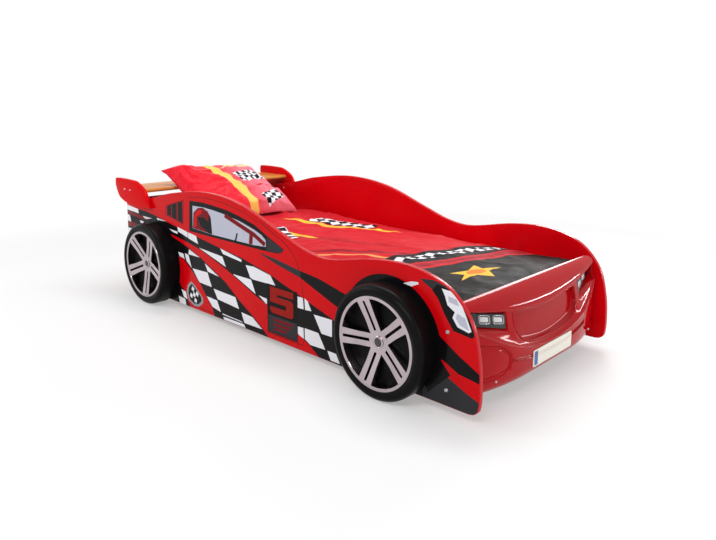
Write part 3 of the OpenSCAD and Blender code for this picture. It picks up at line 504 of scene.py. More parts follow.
def tube(name, path, radius, normal, mat, slot, sides=10):
    """A thin round moulding along a loop of points in a plane with the given normal."""
    rings = []
    for i, p in enumerate(path):
        t = (Vector(path[(i + 1) % len(path)]) - Vector(path[i - 1])).normalized()
        u = t.cross(Vector(normal)).normalized()
        w = t.cross(u)
        rings.append([Vector(p) + a * u + b * w for a, b in circle(0, 0, radius, sides)])
    return hoops(name, rings, [mat], slot=slot, sharp=90)


# ---- Side panels with their print ----
def along(share):
    return mix(X_REAR, X_FRONT, share)


TAIL_Z, ROOF_Z, DIP_Z, BONNET_Z, NOSE_Z = 487, 600, 429, 476, 120
APRON_Z, SILL_Z, GLIDE_H, NOSE_R = 38, 32, 6, 40
ROOF_LINE = smooth_curve([
    (X_PANEL_TAIL, TAIL_Z), (X_REAR - 23, mix(TAIL_Z, ROOF_Z, 0.34)),
    (along(0.11), mix(TAIL_Z, ROOF_Z, 0.73)), (along(0.296), ROOF_Z),
    (along(0.465), mix(DIP_Z, ROOF_Z, 0.84)), (along(0.64), mix(DIP_Z, ROOF_Z, 0.315)),
    (along(0.72), mix(DIP_Z, ROOF_Z, 0.08)), (along(0.80), DIP_Z), (along(0.943), mix(DIP_Z, BONNET_Z, 0.8)),
    (X_FRONT + 50, BONNET_Z), (X_FRONT + 165, BONNET_Z - 16), (X_NOSE - 114, BONNET_Z - 55),
    (X_NOSE - 39, BONNET_Z - 140), (X_NOSE - 8, mix(NOSE_Z, BONNET_Z, 0.3)), (X_NOSE, NOSE_Z),
    *arc(X_NOSE - NOSE_R, APRON_Z + NOSE_R, NOSE_R, (-30, -60)), (X_NOSE - NOSE_R, APRON_Z)], 14)


def lobe(x, z_ahead, z_behind, n=14):
    """The lower edge round a wheel, from front to back, cut level at the glides."""
    r = WHEEL_R - 4

    def angle(z):
        return math.degrees(math.acos((WHEEL_R - z) / r))

    def edge(a, b):
        return arc(x, WHEEL_R, r, [t - 90 for t in spread(a, b, n)])
    return edge(angle(z_ahead), angle(GLIDE_H)) + edge(-angle(GLIDE_H), -angle(z_behind))


SIDE = ROOF_LINE + lobe(X_FRONT, APRON_Z, SILL_Z) + lobe(X_REAR, SILL_Z, APRON_Z)
SIDE += [(X_PANEL_TAIL, APRON_Z + 85)]

# The print's outlines, in centimetres along the bed and over the floor
QUARTER = [(-94.5, 45.2), (-86, 45), (-76.5, 43.8), (-66, 42), (-57, 40.8), (-48, 39.7), (-40, 38.5),
           (-28.5, 37), (-21, 36), (-6, 34.3), (2, 32.7), (13, 30.6), (20, 28.5), (30.5, 25.7), (41, 22.7),
           (48.5, 20.6), (56, 18)]
STRIPE_UP = [(-65, 37), (-57, 36), (-47, 34.6), (-37.5, 33), (-28, 30.3), (-18, 27.4), (-8.5, 24),
             (1.5, 20.2),
             (11, 17.2), (29.5, 9.8), (36, 7), (42.5, 3)]
STRIPE_LOW = [(-63, 35.5), (-56, 34), (-48, 32), (-38, 29), (-28.5, 25.2), (-18.5, 21), (-9, 15), (1, 9.8),
              (6.5, 6.5), (11.5, 3)]
ROOF_SEAM = [(x / 10, z / 10 - 2.6) for x, z in ROOF_LINE if -480 < x < 60]
DOOR_SEAM = [(7, 51.6), (12, 49.4), (21.5, 45.5), (25.5, 43.2), (28.5, 40), (31, 35.5), (32.3, 31),
             (33, 25),
             (33.6, 18), (33.5, 9), (32.5, 5.6), (10.5, 5.6)]
WHITE_CELLS = [
    [(-64.5, 39), (-57, 38.6), (-57, 37.5), (-61, 37.8)],
    [(-57, 41), (-48.2, 39.6), (-48.2, 37), (-56.5, 38.8)],
    [(-47.8, 39.6), (-41, 38.8), (-39.5, 35.2), (-47.8, 36.8)], [(-47.5, 31.5), (-38.5, 29), (-48, 29)],
    [(-39, 33.6), (-20.5, 32.5), (-18, 28.2)], [(-22, 36), (-6.5, 33.6), (-6.5, 32.5), (-20, 33.8)],
    [(-3.5, 31.7), (2, 32), (13, 30.3), (16, 26.6), (1.5, 26.3), (-0.5, 26.8)],
    [(-13, 26), (0, 26), (3, 20.3)],
    [(5, 20.2), (10.5, 19.8), (10.5, 17.3)], [(-57, 28.7), (-52.5, 28.5), (-51.5, 26), (-56, 26.6)],
    [(-51.3, 29), (-48, 28.6), (-45.6, 22.8), (-50, 25.5)], [(-34.5, 27), (-23.5, 22.7), (-32.3, 23.5)],
    [(-45, 22.7), (-32.5, 23), (-29.5, 16.8), (-39.5, 17)],
    [(-28, 16.3), (-11.5, 15.8), (-9, 11), (-25, 12)],
    [(-34, 11.6), (-25.5, 11.2), (-22.7, 6.4), (-29.2, 7.4)],
    [(-7.3, 10), (0.5, 9.5), (7, 5.8), (-5.3, 5.6)],
    [(-21.6, 6.1), (-7, 5.8), (-6.8, 5.4), (-21.3, 5.6)],
    [(-21, 4.7), (-5.7, 4.9), (-4.5, 3.5), (-20.4, 3.5)],
    [(-55.5, 10.6), (-51.5, 10), (-50.3, 6.5), (-53.3, 7)],
    [(-58, 6.6), (-52.3, 6.2), (-51.4, 3.2), (-57.3, 3.2)],
    [(29.7, 25), (32.8, 25), (33.3, 20.5), (29.7, 20.4)],
    [(33.7, 25), (35.5, 24.4), (37.7, 20.8), (34, 20.5)],
    [(39, 19.8), (49, 20), (49, 13.3), (43.3, 13.2)], [(29.7, 12.7), (33, 12.9), (33.2, 8.5), (29.7, 9.5)],
    [(33.7, 13), (41.5, 13), (45.3, 7.3), (37, 7), (33.8, 8.5)],
    [(46.5, 7.3), (51.2, 7.3), (53.2, 3.9), (48.3, 3.9)]]


def band(upper, lower):
    return list(upper) + list(lower)[::-1]


def strip(line, width):
    """A thin line of the print along a path."""
    left, right = [], []
    for i, p in enumerate(line):
        a, b = line[max(0, i - 1)], line[min(len(line) - 1, i + 1)]
        n = Vector((a[1] - b[1], b[0] - a[0])).normalized() * width / 2
        left.append((p[0] + n.x, p[1] + n.y))
        right.append((p[0] - n.x, p[1] - n.y))
    return left + right[::-1]


def figure_five(x, z, w, h, upright, bar):
    """A plain numeral with cut corners."""
    x1, z1, mid, cut = x + w, z + h, z + 0.66 * h, 1.1
    return [(x, z1), (x1, z1), (x1, z1 - bar), (x + upright, z1 - bar), (x + upright, mid), (x1 - cut, mid),
            (x1, mid - cut), (x1, z + cut), (x1 - cut, z), (x + cut, z), (x, z + cut), (x, z + bar),
            (x1 - upright, z + bar), (x1 - upright, mid - bar), (x, mid - bar)]


def print_tail():
    """Behind the rear wheel."""
    return [("black", [(-107, 46), (-94.5, 45.2), (-94.5, 34), (-96, 10), (-107, 10)]),
            ("white", [(-107, 46.4), (-94.5, 45.2), (-94, 43), (-107, 43.8)]),
            ("wine", [(-107, 43.4), (-90, 42), (-77, 40.6), (-90, 40.4), (-107, 41.8)]),
            ("white", [(-90, 42.2), (-76.5, 42), (-87.5, 41)]),
            ("white", [(-93, 39.6), (-87, 39.2), (-89, 38), (-92.5, 38.4)]),
            ("white", [(-76, 43), (-67, 42.3), (-75.5, 42)]),
            ("white", [(-107, 41.2), (-103.6, 41), (-102.4, 37.6), (-107, 37.8)]),
            ("wine", [(-107, 37.4), (-97, 37.5), (-98.5, 35.5), (-107, 35)]),
            ("white", [(-107, 34), (-101, 34), (-99, 28), (-107, 28)])]


def print_stripes():
    low_red = [(-57.5, 26.8), (-52.5, 26.2), (-49.5, 24.3), (-45.5, 21.7), (-38, 16), (-34, 11.6),
               (-29.5, 7), (-27.2, 3),
               (-47, 3), (-50, 6), (-51, 10), (-55, 11.6), (-58, 15)]
    return [("red", low_red), ("black", strip(low_red[:8], 0.35)), ("red", band(STRIPE_UP, STRIPE_LOW)),
            ("black", strip(STRIPE_UP[:9], 0.3)), ("black", strip(STRIPE_LOW, 0.3)),
            ("wine", strip([(-46.5, 4.8), (-28.5, 4.4)], 0.35))]


def print_number():
    """The number square, with a plain numeral and three plain bars."""
    bars = [("wine", [(14.5, z), (26.5 - 2 * i, z), (26.9 - 2 * i, z + 1.1), (14.9, z + 1.1)])
            for i, z in enumerate((11.5, 9.5, 7.6))]
    return [("maroon", [(10.7, 6), (29.6, 6), (29.6, 26.6), (10.7, 26.6)]),
            ("grey", [(11.2, 6.4), (29.1, 6.4), (29.1, 13.6), (11.2, 13.6)]),
            ("number", figure_five(12.6, 14.7, 14.4, 11, 4.4, 2.7))] + bars


def print_shield():
    """Checks in a steel rim."""
    middle = Vector((-44.2, 10))
    shield = [(-49.7, 13.5), (-46.5, 16.2), (-43.5, 14.7), (-37, 10), (-36.8, 7.5), (-40.3, 5), (-44.5, 4.5),
              (-49, 6.4), (-50.6, 10)]
    inner = [(mix(middle.x, x, 0.8), mix(middle.y, z, 0.8)) for x, z in shield]
    across, up = Vector((1.75, -0.9)), Vector((0.75, 1.75))
    out = [("steel", shield), ("black", inner)]
    for i, j in ((-1, -1), (-1, 1), (0, 0), (1, -1), (1, 1)):
        cell = ((i - 0.5, j - 0.5), (i + 0.5, j - 0.5), (i + 0.5, j + 0.5), (i - 0.5, j + 0.5))
        out.append(("white", [tuple(middle + a * across + b * up) for a, b in cell]))
    return out


def print_window():
    """The window with its frame, a helmet behind it, the roll bar, and the louvres."""
    glass = [(-43.2, 52.8), (-34, 53), (-26.5, 52.6), (-19, 51.9), (-7, 50.2), (3, 47.9), (7.5, 46.4),
             (10.3, 44.6), (10.3, 41.8),
             (2, 41.3), (-28, 41.4), (-43.6, 42.2)]
    out = [("black", [(-46.8, 40.4), (-45.7, 54.9), (-34.5, 55.2), (-26.5, 54.7), (-16.5, 53.9),
                      (-6.5, 52.2), (3, 50), (11, 46.6),
                      (21.8, 42.5), (20.4, 41), (17.5, 40.2), (7, 40), (-27, 40.2)]),
           ("grey", [(11, 46), (21.3, 42.4), (20.2, 41.2), (17.5, 40.5), (10.6, 40.4)]), ("glass", glass),
           ("wine", [(-43.4, 42.3), (-42.6, 49.6), (-39, 52.2), (-35, 52.8), (-31, 51.6), (-28.8, 49.5),
                     (-28, 41.5)]),
           ("red", [(-42.6, 43.2), (-41.8, 48.8), (-38.6, 51.4), (-35.2, 51.8), (-36.4, 49.8), (-40, 48.2),
                    (-40.6, 43)]),
           ("black", [(-39.5, 47.8), (-34.5, 48.6), (-30.6, 46.8), (-30.4, 49.5), (-28.6, 49),
                      (-27.8, 41.5), (-30.5, 41.6), (-37, 44)]),
           ("wine", strip([(-18, 51.4), (2.5, 45.8), (9.8, 42.6)], 2.0)),
           ("wine", [(-1, 41.4), (1.4, 41.4), (1.9, 45), (-0.4, 45.8)]),
           ("black", [(-11, 41.2), (-9.8, 41.2), (-8.6, 44.6), (-9.5, 44.8)]),
           ("wine", [(-67.5, 45.6), (-51.6, 42.8), (-50.6, 54.8), (-66.8, 49.6)]),
           ("red", [(-67, 46), (-52, 43.4), (-51.1, 54.2), (-66.4, 49.2)])]
    for left, right, low, high, rise in ((-65.7, -62.4, 45.9, 50, 1.2), (-61.4, -57.4, 45, 51.4, 1.1),
                                         (-56.2, -52.4, 44.1, 52.9, 1)):
        slat = [(left, low), (right, low - 0.5), (right + 0.4, high + rise), (left + 0.3, high)]
        out += [("wine", grown(slat, 0.45)), ("black", slat)]
    return out


def print_front():
    """The swoosh behind the front wheel, both wheel arches with a painted highlight on the front one, and the
    nose with its headlight.
    """
    return [("grey", band([(7, 38.7), (17.5, 37.6), (31.5, 35.6)],
                          [(7, 38.2), (17.5, 35.6), (31.5, 32.8)])),
            ("black", band([(31.5, 35.6), (41.5, 34.6), (56, 31.4)],
                           [(31.5, 32.8), (41, 29.4), (55, 24.5)])),
            ("black", circle(76.9, 20.2, 22.5, 96)), ("black", circle(-77.9, 20.2, 22, 96)),
            ("black", [(96.5, 28), (99, 26.3), (106, 22), (115, 17.4), (115, 14.8), (106, 16), (100, 18.8),
                       (96, 20)]),
            ("grey", [(92, 9), (100, 14.6), (108, 11), (115, 8.4), (115, 3), (92, 3)]),
            ("black", [(92, 12), (99, 18.8), (103, 14.6), (94, 6)]),
            # A small white glint at the top of the front arch: a painted highlight laid into the print.
            ("white", [(83, 41), (86.5, 42.3), (89.2, 42.6), (89.6, 42), (86.5, 40.6)]),
            ("grey", [(90, 44), (95.5, 44.5), (104.5, 42.6), (100.6, 40), (94.5, 41.6)]),
            ("black", [(97, 43.4), (104.8, 42.2), (108.4, 37.6), (111.6, 30), (110.8, 28.8), (103.6, 29.6),
                       (100, 34.4), (97.6, 38.6), (95, 41.2)]),
            ("white", [(98.8, 42.4), (103, 42.2), (106, 39.6), (108.2, 35.6), (110.4, 31), (109.4, 30.3),
                       (105.2, 31.2), (103.2, 33.8),
                       (104, 35.8), (101.2, 37.4), (100.2, 40)]),
            ("glass", [(106, 32), (109.6, 31), (108, 34.6), (104.9, 35.6), (104.4, 34)]),
            ("glass", [(101.6, 38.6), (105.6, 38), (104.6, 40), (101.4, 40.4)])]


def side_print():
    """All outlines with the names of their colours; the later ones lie on top."""
    p = [("black", QUARTER + [(56, 3), (-94.5, 3)])] + print_tail()
    p += [("white", cell) for cell in WHITE_CELLS]
    p += print_stripes() + print_number() + print_shield() + print_window()
    p += [("wine", strip(ROOF_SEAM, 0.3)), ("black", strip(DOOR_SEAM, 0.28))]
    return p + print_front()


FIN_L = 354
FIN_LINE = smooth_curve([
    (X_TAIL, 568), (X_TAIL + 2, 592), (X_TAIL + 11, 602), (X_TAIL + 0.54 * FIN_L, 601),
    (X_TAIL + 0.655 * FIN_L, 591),
    (X_TAIL + 0.833 * FIN_L, mix(TAIL_Z, 602, 0.62)), (X_TAIL + 0.932 * FIN_L, mix(TAIL_Z, 602, 0.18)),
    (X_TAIL + FIN_L, TAIL_Z - 14)], 10)
FIN_BELLY = smooth_curve([
    (X_TAIL + FIN_L, TAIL_Z - 14), (X_TAIL + 0.71 * FIN_L, TAIL_Z - 19),
    (X_TAIL + 0.385 * FIN_L, TAIL_Z - 13),
    (X_TAIL + 0.135 * FIN_L, TAIL_Z + 12), (X_TAIL + 17, TAIL_Z + 44), (X_TAIL, 568)], 10)


def against(side, start):
    """Places a plan of X and Z on a plane across the bed; depth runs towards the bed's middle."""
    return lambda u, v, w: (u, side * (start - w), v)


def make_panels():
    names, design = list(PANEL), side_print()
    front = {i: names.index(colour) for i, (colour, _) in enumerate(design)}
    front[-1] = names.index("red")
    regions = [[(x * 10, z * 10) for x, z in poly] for _, poly in design]
    square, left, right, top = 201.5, 120, 280, 280  # middle and borders of the number square
    for side, word in SIDES:
        if side > 0:  # the numeral and its bars read the same way from outside the other side
            for i, (colour, _) in enumerate(design):
                x, z = regions[i][0]
                if colour in ("number", "wine") and left < x < right and z < top:
                    regions[i] = [(2 * square - x, z) for x, z in regions[i]]
        slab(f"printed_panel_{word}", flat_regions(grown(SIDE, -1.6), (), regions), BOARD, 1.6,
             against(side, Y_OUT), list(PANEL.values()), front, names.index("edge"), names.index("inner"),
             slot="panel_red", replaces=f"side_panel_{word}")
        fin = flat_regions(grown(FIN_LINE[:-1] + FIN_BELLY[:-1], -2.5))
        slab(f"fin_{word}", fin, BOARD, 2.5, against(side, Y_FIN), [FIN_RED], slot="fin_red",
             replaces=f"spoiler_fin_{word}")


make_panels()


# ---- End boards and wing ----
def make_boards():
    for name, x, high, r in (("headboard", X_HEAD_OUT, 500, 40), ("footboard", X_FOOT_IN, MATTRESS_TOP, 6)):
        shape = [(-Y_IN, 62), (Y_IN, 62)] + arc(Y_IN - r, high - r, r, range(0, 91, 15))
        shape += arc(r - Y_IN, high - r, r, range(90, 181, 15))
        slab(name + "_board", flat_regions(grown(shape, -1.2)), BOARD, 1.2, lambda u, v, w: (x + w, u, v),
             [BOARD_RED], slot="board_red", replaces=name)
    r, top = BOARD / 2, WING_Z + BOARD
    shape = [(WING_BACK, WING_Z + 3), (WING_BACK + 3, WING_Z)]
    shape += arc(WING_FRONT - r, WING_Z + r, r, range(-90, 91, 15))
    shape += [(WING_BACK + 3, top), (WING_BACK, top - 3)]
    slab("wing", flat_regions(shape), 2 * Y_OUT, 0.001, lambda u, v, w: (u, -Y_OUT + w, v), [AMBER_AND_PAINTED_REFLECTION],
         slot="wing_amber", replaces="spoiler_wing", rings=1)


make_boards()


# ---- Wheels ----
def at_wheel(side, x):
    """Plan of a wheel, looking at it from outside: u forwards, v up, w out of the panel."""
    return lambda u, v, w: (x + u, side * (Y_OUT + w), WHEEL_R + v)


def tyre_profile():
    """The tyre's outside, then the well and the inside; with the material of each stretch."""
    r, face, foot, wall = 22, WHEEL_DEPTH - SKIN, WHEEL_R - 24, RIM_R + 4.3
    out = [(foot, 0), (WHEEL_R - 1, 0), (WHEEL_R, 1), (WHEEL_R, WHEEL_DEPTH - r)]
    out += arc(WHEEL_R - r, WHEEL_DEPTH - r, r, range(10, 91, 10))
    out += [(RIM_R + 3.5, WHEEL_DEPTH - 1.6), (RIM_R + 1.2, WHEEL_DEPTH - 3), (RIM_R + 0.3, WHEEL_DEPTH - 6)]
    well = [(RIM_R + 0.3, WELL_D), (0, WELL_D), (0, WELL_D - SKIN), (wall, WELL_D - SKIN), (wall, face - 2),
            (WHEEL_R - r, face), (WHEEL_R - SKIN, WHEEL_DEPTH - r), (WHEEL_R - SKIN, SKIN), (foot, SKIN)]
    return out + well, [0] * (len(out) - 1) + [1] * (len(well) + 1)


def rim_plan(turn, spokes=5):
    """Ring, hub and double spokes in one plan; the kept parts are chosen from the overlapping outlines."""
    hub_r, half, gap = 33, 23.8, 6.2
    reach = RIM_R - RING_W / 2
    end = reach - RING_W
    rings = [circle(0, 0, RIM_R - RING_W + 1.5, 120), circle(0, 0, hub_r, 48)]
    rings += [circle(0, 0, r, 72) for r in (60, 95, 125)]
    arm = [(0, -half), (reach * 0.55, -half), (reach, -half - 5), (reach, half + 5), (reach * 0.55, half),
           (0, half)]
    slot = [(hub_r + 7, -gap)] + arc(end, 0, 4, range(-80, 81, 20), gap) + [(hub_r + 7, gap)]
    arms, slots = [], []
    for k in range(spokes):
        a = turn + k * 2 * math.pi / spokes
        c, s = math.cos(a), math.sin(a)
        for out, shape in ((arms, arm), (slots, slot)):
            out.append([(x * c - y * s, x * s + y * c) for x, y in shape])
    first_slot = len(rings) + spokes

    def keep(src):
        if any(s >= first_slot for s in src):
            return 1 in src
        return 0 not in src or 1 in src or any(len(rings) <= s < first_slot for s in src)
    return flat_regions(circle(0, 0, RIM_R - 1.2, 180), (), rings + arms + slots, keep)


def dish(r):
    """Height of the rim's face over the panel at a radius."""
    drop = np.interp(r, (33, 60, 95, 125, 150, 154, 165), (26.5, 21.8, 15.2, 8.9, 3.3, 3, 3.2))
    return WHEEL_DEPTH - float(drop)


def make_wheels():
    profile, kinds = tyre_profile()
    top = WHEEL_DEPTH - 24
    cap = [(0, -2.6), (20.5, -2.6), (22, -1.6), (22, -0.4), (20.6, 0.6), (18.5, 0.8), (17.6, 0.2), (16, 0.4),
           (12, 1.2), (6, 1.8), (0, 2)]
    for side, word in SIDES:
        for x, end, turn in ((X_FRONT, "front", 38), (X_REAR, "rear", 59)):
            put = at_wheel(side, x)
            lathe(f"tyre_{end}_{word}_moulding", profile, put, [TYRE, WELL_BLACK_WITH_PAINTED_SHADE], kinds, slot="tyre_black",
                  replaces=f"tyre_{end}_{word}")

            def place(u, v, w):
                r = math.hypot(u, v)
                depth = 12 if 33 < r < RIM_R - RING_W - 1 else dish(r) - WELL_D - 0.2
                return put(u, v, dish(r) - w / 12 * depth)
            slab(f"rim_{end}_{word}_plated", rim_plan(math.radians(turn)), 12, 1.2, place, [CHROME_WITH_PAINTED_ROSE_REFLECTION],
                 slot="rim_plated", replaces=f"rim_{end}_{word}", sharp=14, rings=2)
            lathe(f"cap_{end}_{word}_moulding", [(r, top + h) for r, h in cap], put, [CAP, CHROME_WITH_PAINTED_ROSE_REFLECTION],
                  [0] + [1] * 6 + [0] * 4, n=64, slot="cap_dark", replaces=f"hub_cap_{end}_{word}")


make_wheels()

# ---- Bumper: y is the distance from the bed's middle, on either side ----
BW = Y_IN - 0.5
LIGHT_L, LIGHT_H, LIGHT_H_OUT = 170, 50, 41
LIGHT_IN = Y_IN - 20 - LIGHT_L
LIGHT_OUT = LIGHT_IN + LIGHT_L
MOUTH_W, MOUTH_D, PANE_IN, PANE_D = LIGHT_IN - 40, 17, LIGHT_IN, 8
X_FLANGE, ROLL_R, BUMPER_TOP, BUMPER_BOT = X_FOOT_OUT + BOARD, 6, 388, 68
LIP_FRONT, LIP_FLAT, LIP_Z, BROW_Z = X_TIP - 4, PLATE_L / 2 + 6, 168, 303
BOT_TOP, STEP = BUMPER_BOT + 46, 5
POCKET = 6.5  # room round the headlights
LAMP_IN, LAMP_PITCH, LAMP_DROP = 33, 62, 19  # lamps' middles, from the headlight's inner end and top


def lip_x(y):
    return LIP_FRONT - 51 * max(0, (y - LIP_FLAT) / (BW - LIP_FLAT)) ** 2


def lip_height(y):
    return LIP_Z + 134 * (y / BW) ** 2


def brow_x(y):
    return X_TIP - 28 - 37 * (y / BW) ** 2


def brow_height(y):
    return BROW_Z + 58 * (y / BW) ** 1.5


LIGHT_Z = brow_height(LIGHT_IN) - 14


def light_x(y, z):
    return brow_x(LIGHT_IN) - 6 - 0.216 * (y - LIGHT_IN) - 0.12 * (z - LIGHT_Z)


def light_top(y):
    return LIGHT_Z + 0.19 * (y - LIGHT_IN)


def light_low(y):
    return light_top(y) - mix(LIGHT_H, LIGHT_H_OUT, (y - LIGHT_IN) / LIGHT_L)


def pocket_share(y):
    return ease((y - LIGHT_IN + POCKET) / STEP) * ease((LIGHT_OUT + POCKET - y) / STEP)


def recess_turn(y):
    """0 over the mouth, 1 at the headlights."""
    return ease((y - MOUTH_W) / (LIGHT_IN - 2 * STEP - MOUTH_W))


def recess_low(y):
    mouth = lip_height(y) + 18 + 50 * min(1, y / MOUTH_W) ** 12
    pocket = light_low(max(LIGHT_IN, y)) - POCKET
    return max(lip_height(y) + 8, mix(mouth, pocket, recess_turn(y)))


def recess_top(y):
    mouth = brow_height(y) - 5 - 8 * min(1, y / MOUTH_W) ** 6
    return mix(mouth, light_top(max(LIGHT_IN, y)) + POCKET, recess_turn(y))


def face_x(y, z):
    s = (z - lip_height(y)) / (brow_height(y) - lip_height(y))
    return mix(lip_x(y) - 7, brow_x(y) - 7, max(0, s) ** 0.8)


def floor_x(y, z):
    mouth = face_x(y, z) - MOUTH_D * ease((MOUTH_W - y) / STEP)
    return mix(mouth, light_x(y, z) - 8, pocket_share(y))


def pane(y, x, low, top):
    """The sunk pane beside the side panel, with a groove that runs round inside its border."""
    deep = PANE_D * ease((y - PANE_IN) / 9)
    inner = deep * mix(1, 0.35, ease((top - low - 28) / 16) * ease((y - PANE_IN - 12) / 5))
    room = min(16, (top - low) * 0.35)
    return [(x, low), (x - deep, low + STEP), (x - deep, low + room * 0.7), (x - inner, low + room),
            (x - inner, top - room), (x - deep, top - room * 0.7), (x - deep, top - STEP), (x, top)]


def shell_column(y):
    """Outer face of the shell at one place across the bed, from the lower edge to the flange."""
    wide = math.sqrt(1 - (1 - min(1, max(0, y - PANE_IN) / 75)) ** 2)
    x, lip, brow = lip_x(y), lip_height(y), brow_height(y)
    mid = mix(BOT_TOP, lip, 0.5)
    low = mix(mid - 8, BOT_TOP + 2, wide)
    top = mix(mid + 8, min(lip - 8, lip_height(PANE_IN) + 0.235 * (y - PANE_IN)), wide)
    rl, rt = recess_low(y), recess_top(y)
    p = arc(x - 38, BOT_TOP, 38, (-90, -67.5, -45, -22.5, 0), BOT_TOP - BUMPER_BOT) + pane(y, x, low, top)
    p += [(x, lip - 4), (x + 4, lip), (mix(x, face_x(y, lip + 6), 0.6), lip + 6), (face_x(y, rl), rl)]
    p += [(floor_x(y, z), z) for z in spread(rl + STEP, rt - STEP, 5)] + [(face_x(y, rt), rt)]
    back = X_FLANGE + ROLL_R
    for a in map(math.radians, range(0, 76, 15)):
        p.append((mix(back, brow_x(y), math.cos(a) ** 1.3), mix(brow, BUMPER_TOP, math.sin(a) ** 1.3)))
    return p + arc(back, BUMPER_TOP - ROLL_R, ROLL_R, (90, 130, 180)) + [(X_FLANGE, MATTRESS_TOP - 28)]


def rounded(p, keep=0.25):
    """One pass of corner cutting that keeps the ends."""
    out = [p[0]]
    for i in range(len(p) - 1):
        a, b = np.array(p[i]), np.array(p[i + 1])
        if i:
            out.append(tuple(a + (b - a) * keep))
        if i < len(p) - 2:
            out.append(tuple(a + (b - a) * (1 - keep)))
    out.append(p[-1])
    return out


def make_bumper():
    stops = ((0, MOUTH_W, 26), (MOUTH_W - 4, MOUTH_W, 4), (MOUTH_W, LIGHT_IN - POCKET, 10),
             (LIGHT_IN - POCKET, LIGHT_IN - 1.5, 5), (LIGHT_IN, LIGHT_IN + 18, 9),
             (LIGHT_IN + 20, LIGHT_OUT, 16), (LIGHT_OUT + 1.5, LIGHT_OUT + POCKET, 5),
             (mix(LIGHT_OUT + 7, BW, 1 / 6), BW, 5))
    half = sorted({round(y, 3) for a, b, n in stops for y in spread(a, b, n)})
    outer, inner = [], []
    for y in [-y for y in half[:0:-1]] + half:
        c = rounded(rounded(shell_column(abs(y))))
        normals = [Vector((b[1] - a[1], a[0] - b[0])).normalized() for a, b in zip(c[:1] + c, c[1:] + c[-1:])]
        outer.append([(x, y, z) for x, z in c])
        inner.append([(x - n.x * 3.4, y, z - n.y * 3.4) for (x, z), n in zip(c, normals)])
    two_skins("bumper_moulding", outer, inner, [BUMPER], slot="bumper_red", replaces="bumper_shell", sharp=50)


def make_lights():
    for side, word in SIDES:
        def place(u, v, w):
            return (light_x(u, v) - w, side * u, v)
        shape = [(LIGHT_IN, light_low(LIGHT_IN)), (LIGHT_OUT, light_low(LIGHT_OUT)),
                 (LIGHT_OUT, light_top(LIGHT_OUT)), (LIGHT_IN, light_top(LIGHT_IN))]
        slab(f"headlight_{word}_housing", flat_regions(grown(shape, -1)), 7.6, 1, place, [LIGHT_BLACK],
             slot="headlight_black", replaces=f"headlight_{word}")
        for i, y in enumerate((LIGHT_IN + LAMP_IN, LIGHT_IN + LAMP_IN + LAMP_PITCH), 1):
            def outline(inset):
                w, h = 25 - inset, 15 - inset
                box = round_box(y - w, -h, y + w, h, 9 - inset * 0.6)
                return [(u, light_top(u) - LAMP_DROP + v) for u, v in box]
            slab(f"lamp_{word}_{i}_bezel", flat_regions(outline(0.8), [outline(2.4)]), 5, 0.8,
                 lambda u, v, w: place(u, v, w - 2), [BEZEL], slot="lamp_white")
            dome = ((1.0, -2.5), (1.0, 0.8), (0.95, 2.2), (0.85, 3.0), (0.6, 3.7), (0.3, 4.0))
            mid = light_top(y) - LAMP_DROP
            rings = [[place(mix(y, u, share), mix(mid, v, share), 1.5 - h) for u, v in outline(6)]
                     for share, h in dome]
            hoops(f"lamp_{word}_{i}_lens", rings, [LAMP], capped=True, slot="lamp_white")
        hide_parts(f"lamps_{word}")


def make_plate():
    low, half = LIP_Z - 5 - PLATE_H, PLATE_L / 2
    outline = round_box(-half, low, half, low + PLATE_H, 6)
    stripe = [(-137, low + 5), (-113, low + 5), (-113, low + 55), (-137, low + 55)]
    slab("number_plate_blank", flat_regions(grown(outline, -0.8), (), [stripe]), 3, 0.8,
         lambda u, v, w: (LIP_FRONT + 3 - w, u, v), [PLATE, PLATE_BLUE], {-1: 0, 0: 1},
         slot="plate_white", replaces="number_plate")


def make_mouth_edge():
    ys = [MOUTH_W * math.sin(math.pi * i / 80) for i in range(-39, 40)]
    low = [(y, recess_low(abs(y)) - 1) for y in ys]
    top = [(y, recess_top(abs(y)) + 1) for y in ys[::-1]]
    ends = [(MOUTH_W + 1, mix(low[-1][1], top[0][1], i / 6)) for i in range(1, 6)]
    loop = low + ends + top + [(-y, z) for y, z in ends[::-1]]
    path = [(face_x(abs(y), z) + 0.4, y, z) for y, z in loop]
    tube("mouth_edge", path, 1.7, (1, 0, 0), BUMPER, "bumper_red")


make_bumper()
make_mouth_edge()
make_lights()
make_plate()


# ---- Bedding ----
def inflate(o, pressure, cap, voxel, frames=20):
    """Remeshes a piece, lets it swell as cloth under pressure by cap at most, and keeps the result."""
    bpy.context.view_layer.objects.active = o
    mod = o.modifiers.new("remesh", "REMESH")
    mod.mode, mod.voxel_size = "VOXEL", voxel
    bpy.ops.object.select_all(action="DESELECT")
    o.select_set(True)
    bpy.ops.object.modifier_apply(modifier="remesh")
    rest = np.array([v.co for v in o.data.vertices])
    cloth = o.modifiers.new("cloth", "CLOTH")
    s = cloth.settings
    s.quality, s.mass = 4, 0.3
    s.tension_stiffness = s.compression_stiffness = 12
    s.shear_stiffness, s.bending_stiffness = 6, 0.4
    s.use_pressure, s.uniform_pressure_force = True, pressure
    s.effector_weights.gravity = 0
    cloth.point_cache.frame_start, cloth.point_cache.frame_end = 1, frames
    scene = bpy.context.scene
    for f in range(1, frames + 1):
        scene.frame_set(f)
    ev = o.evaluated_get(bpy.context.evaluated_depsgraph_get())
    now = np.array([v.co for v in ev.data.vertices])
    o.modifiers.remove(cloth)
    move = now - rest
    far = np.linalg.norm(move, axis=1, keepdims=True)
    move *= np.minimum(1, cap / np.maximum(far, 1e-9))
    o.data.vertices.foreach_set("co", (rest + move).astype(np.float32).ravel())
    o.data.update()
    scene.frame_set(1)
    for p in o.data.polygons:
        p.use_smooth = True


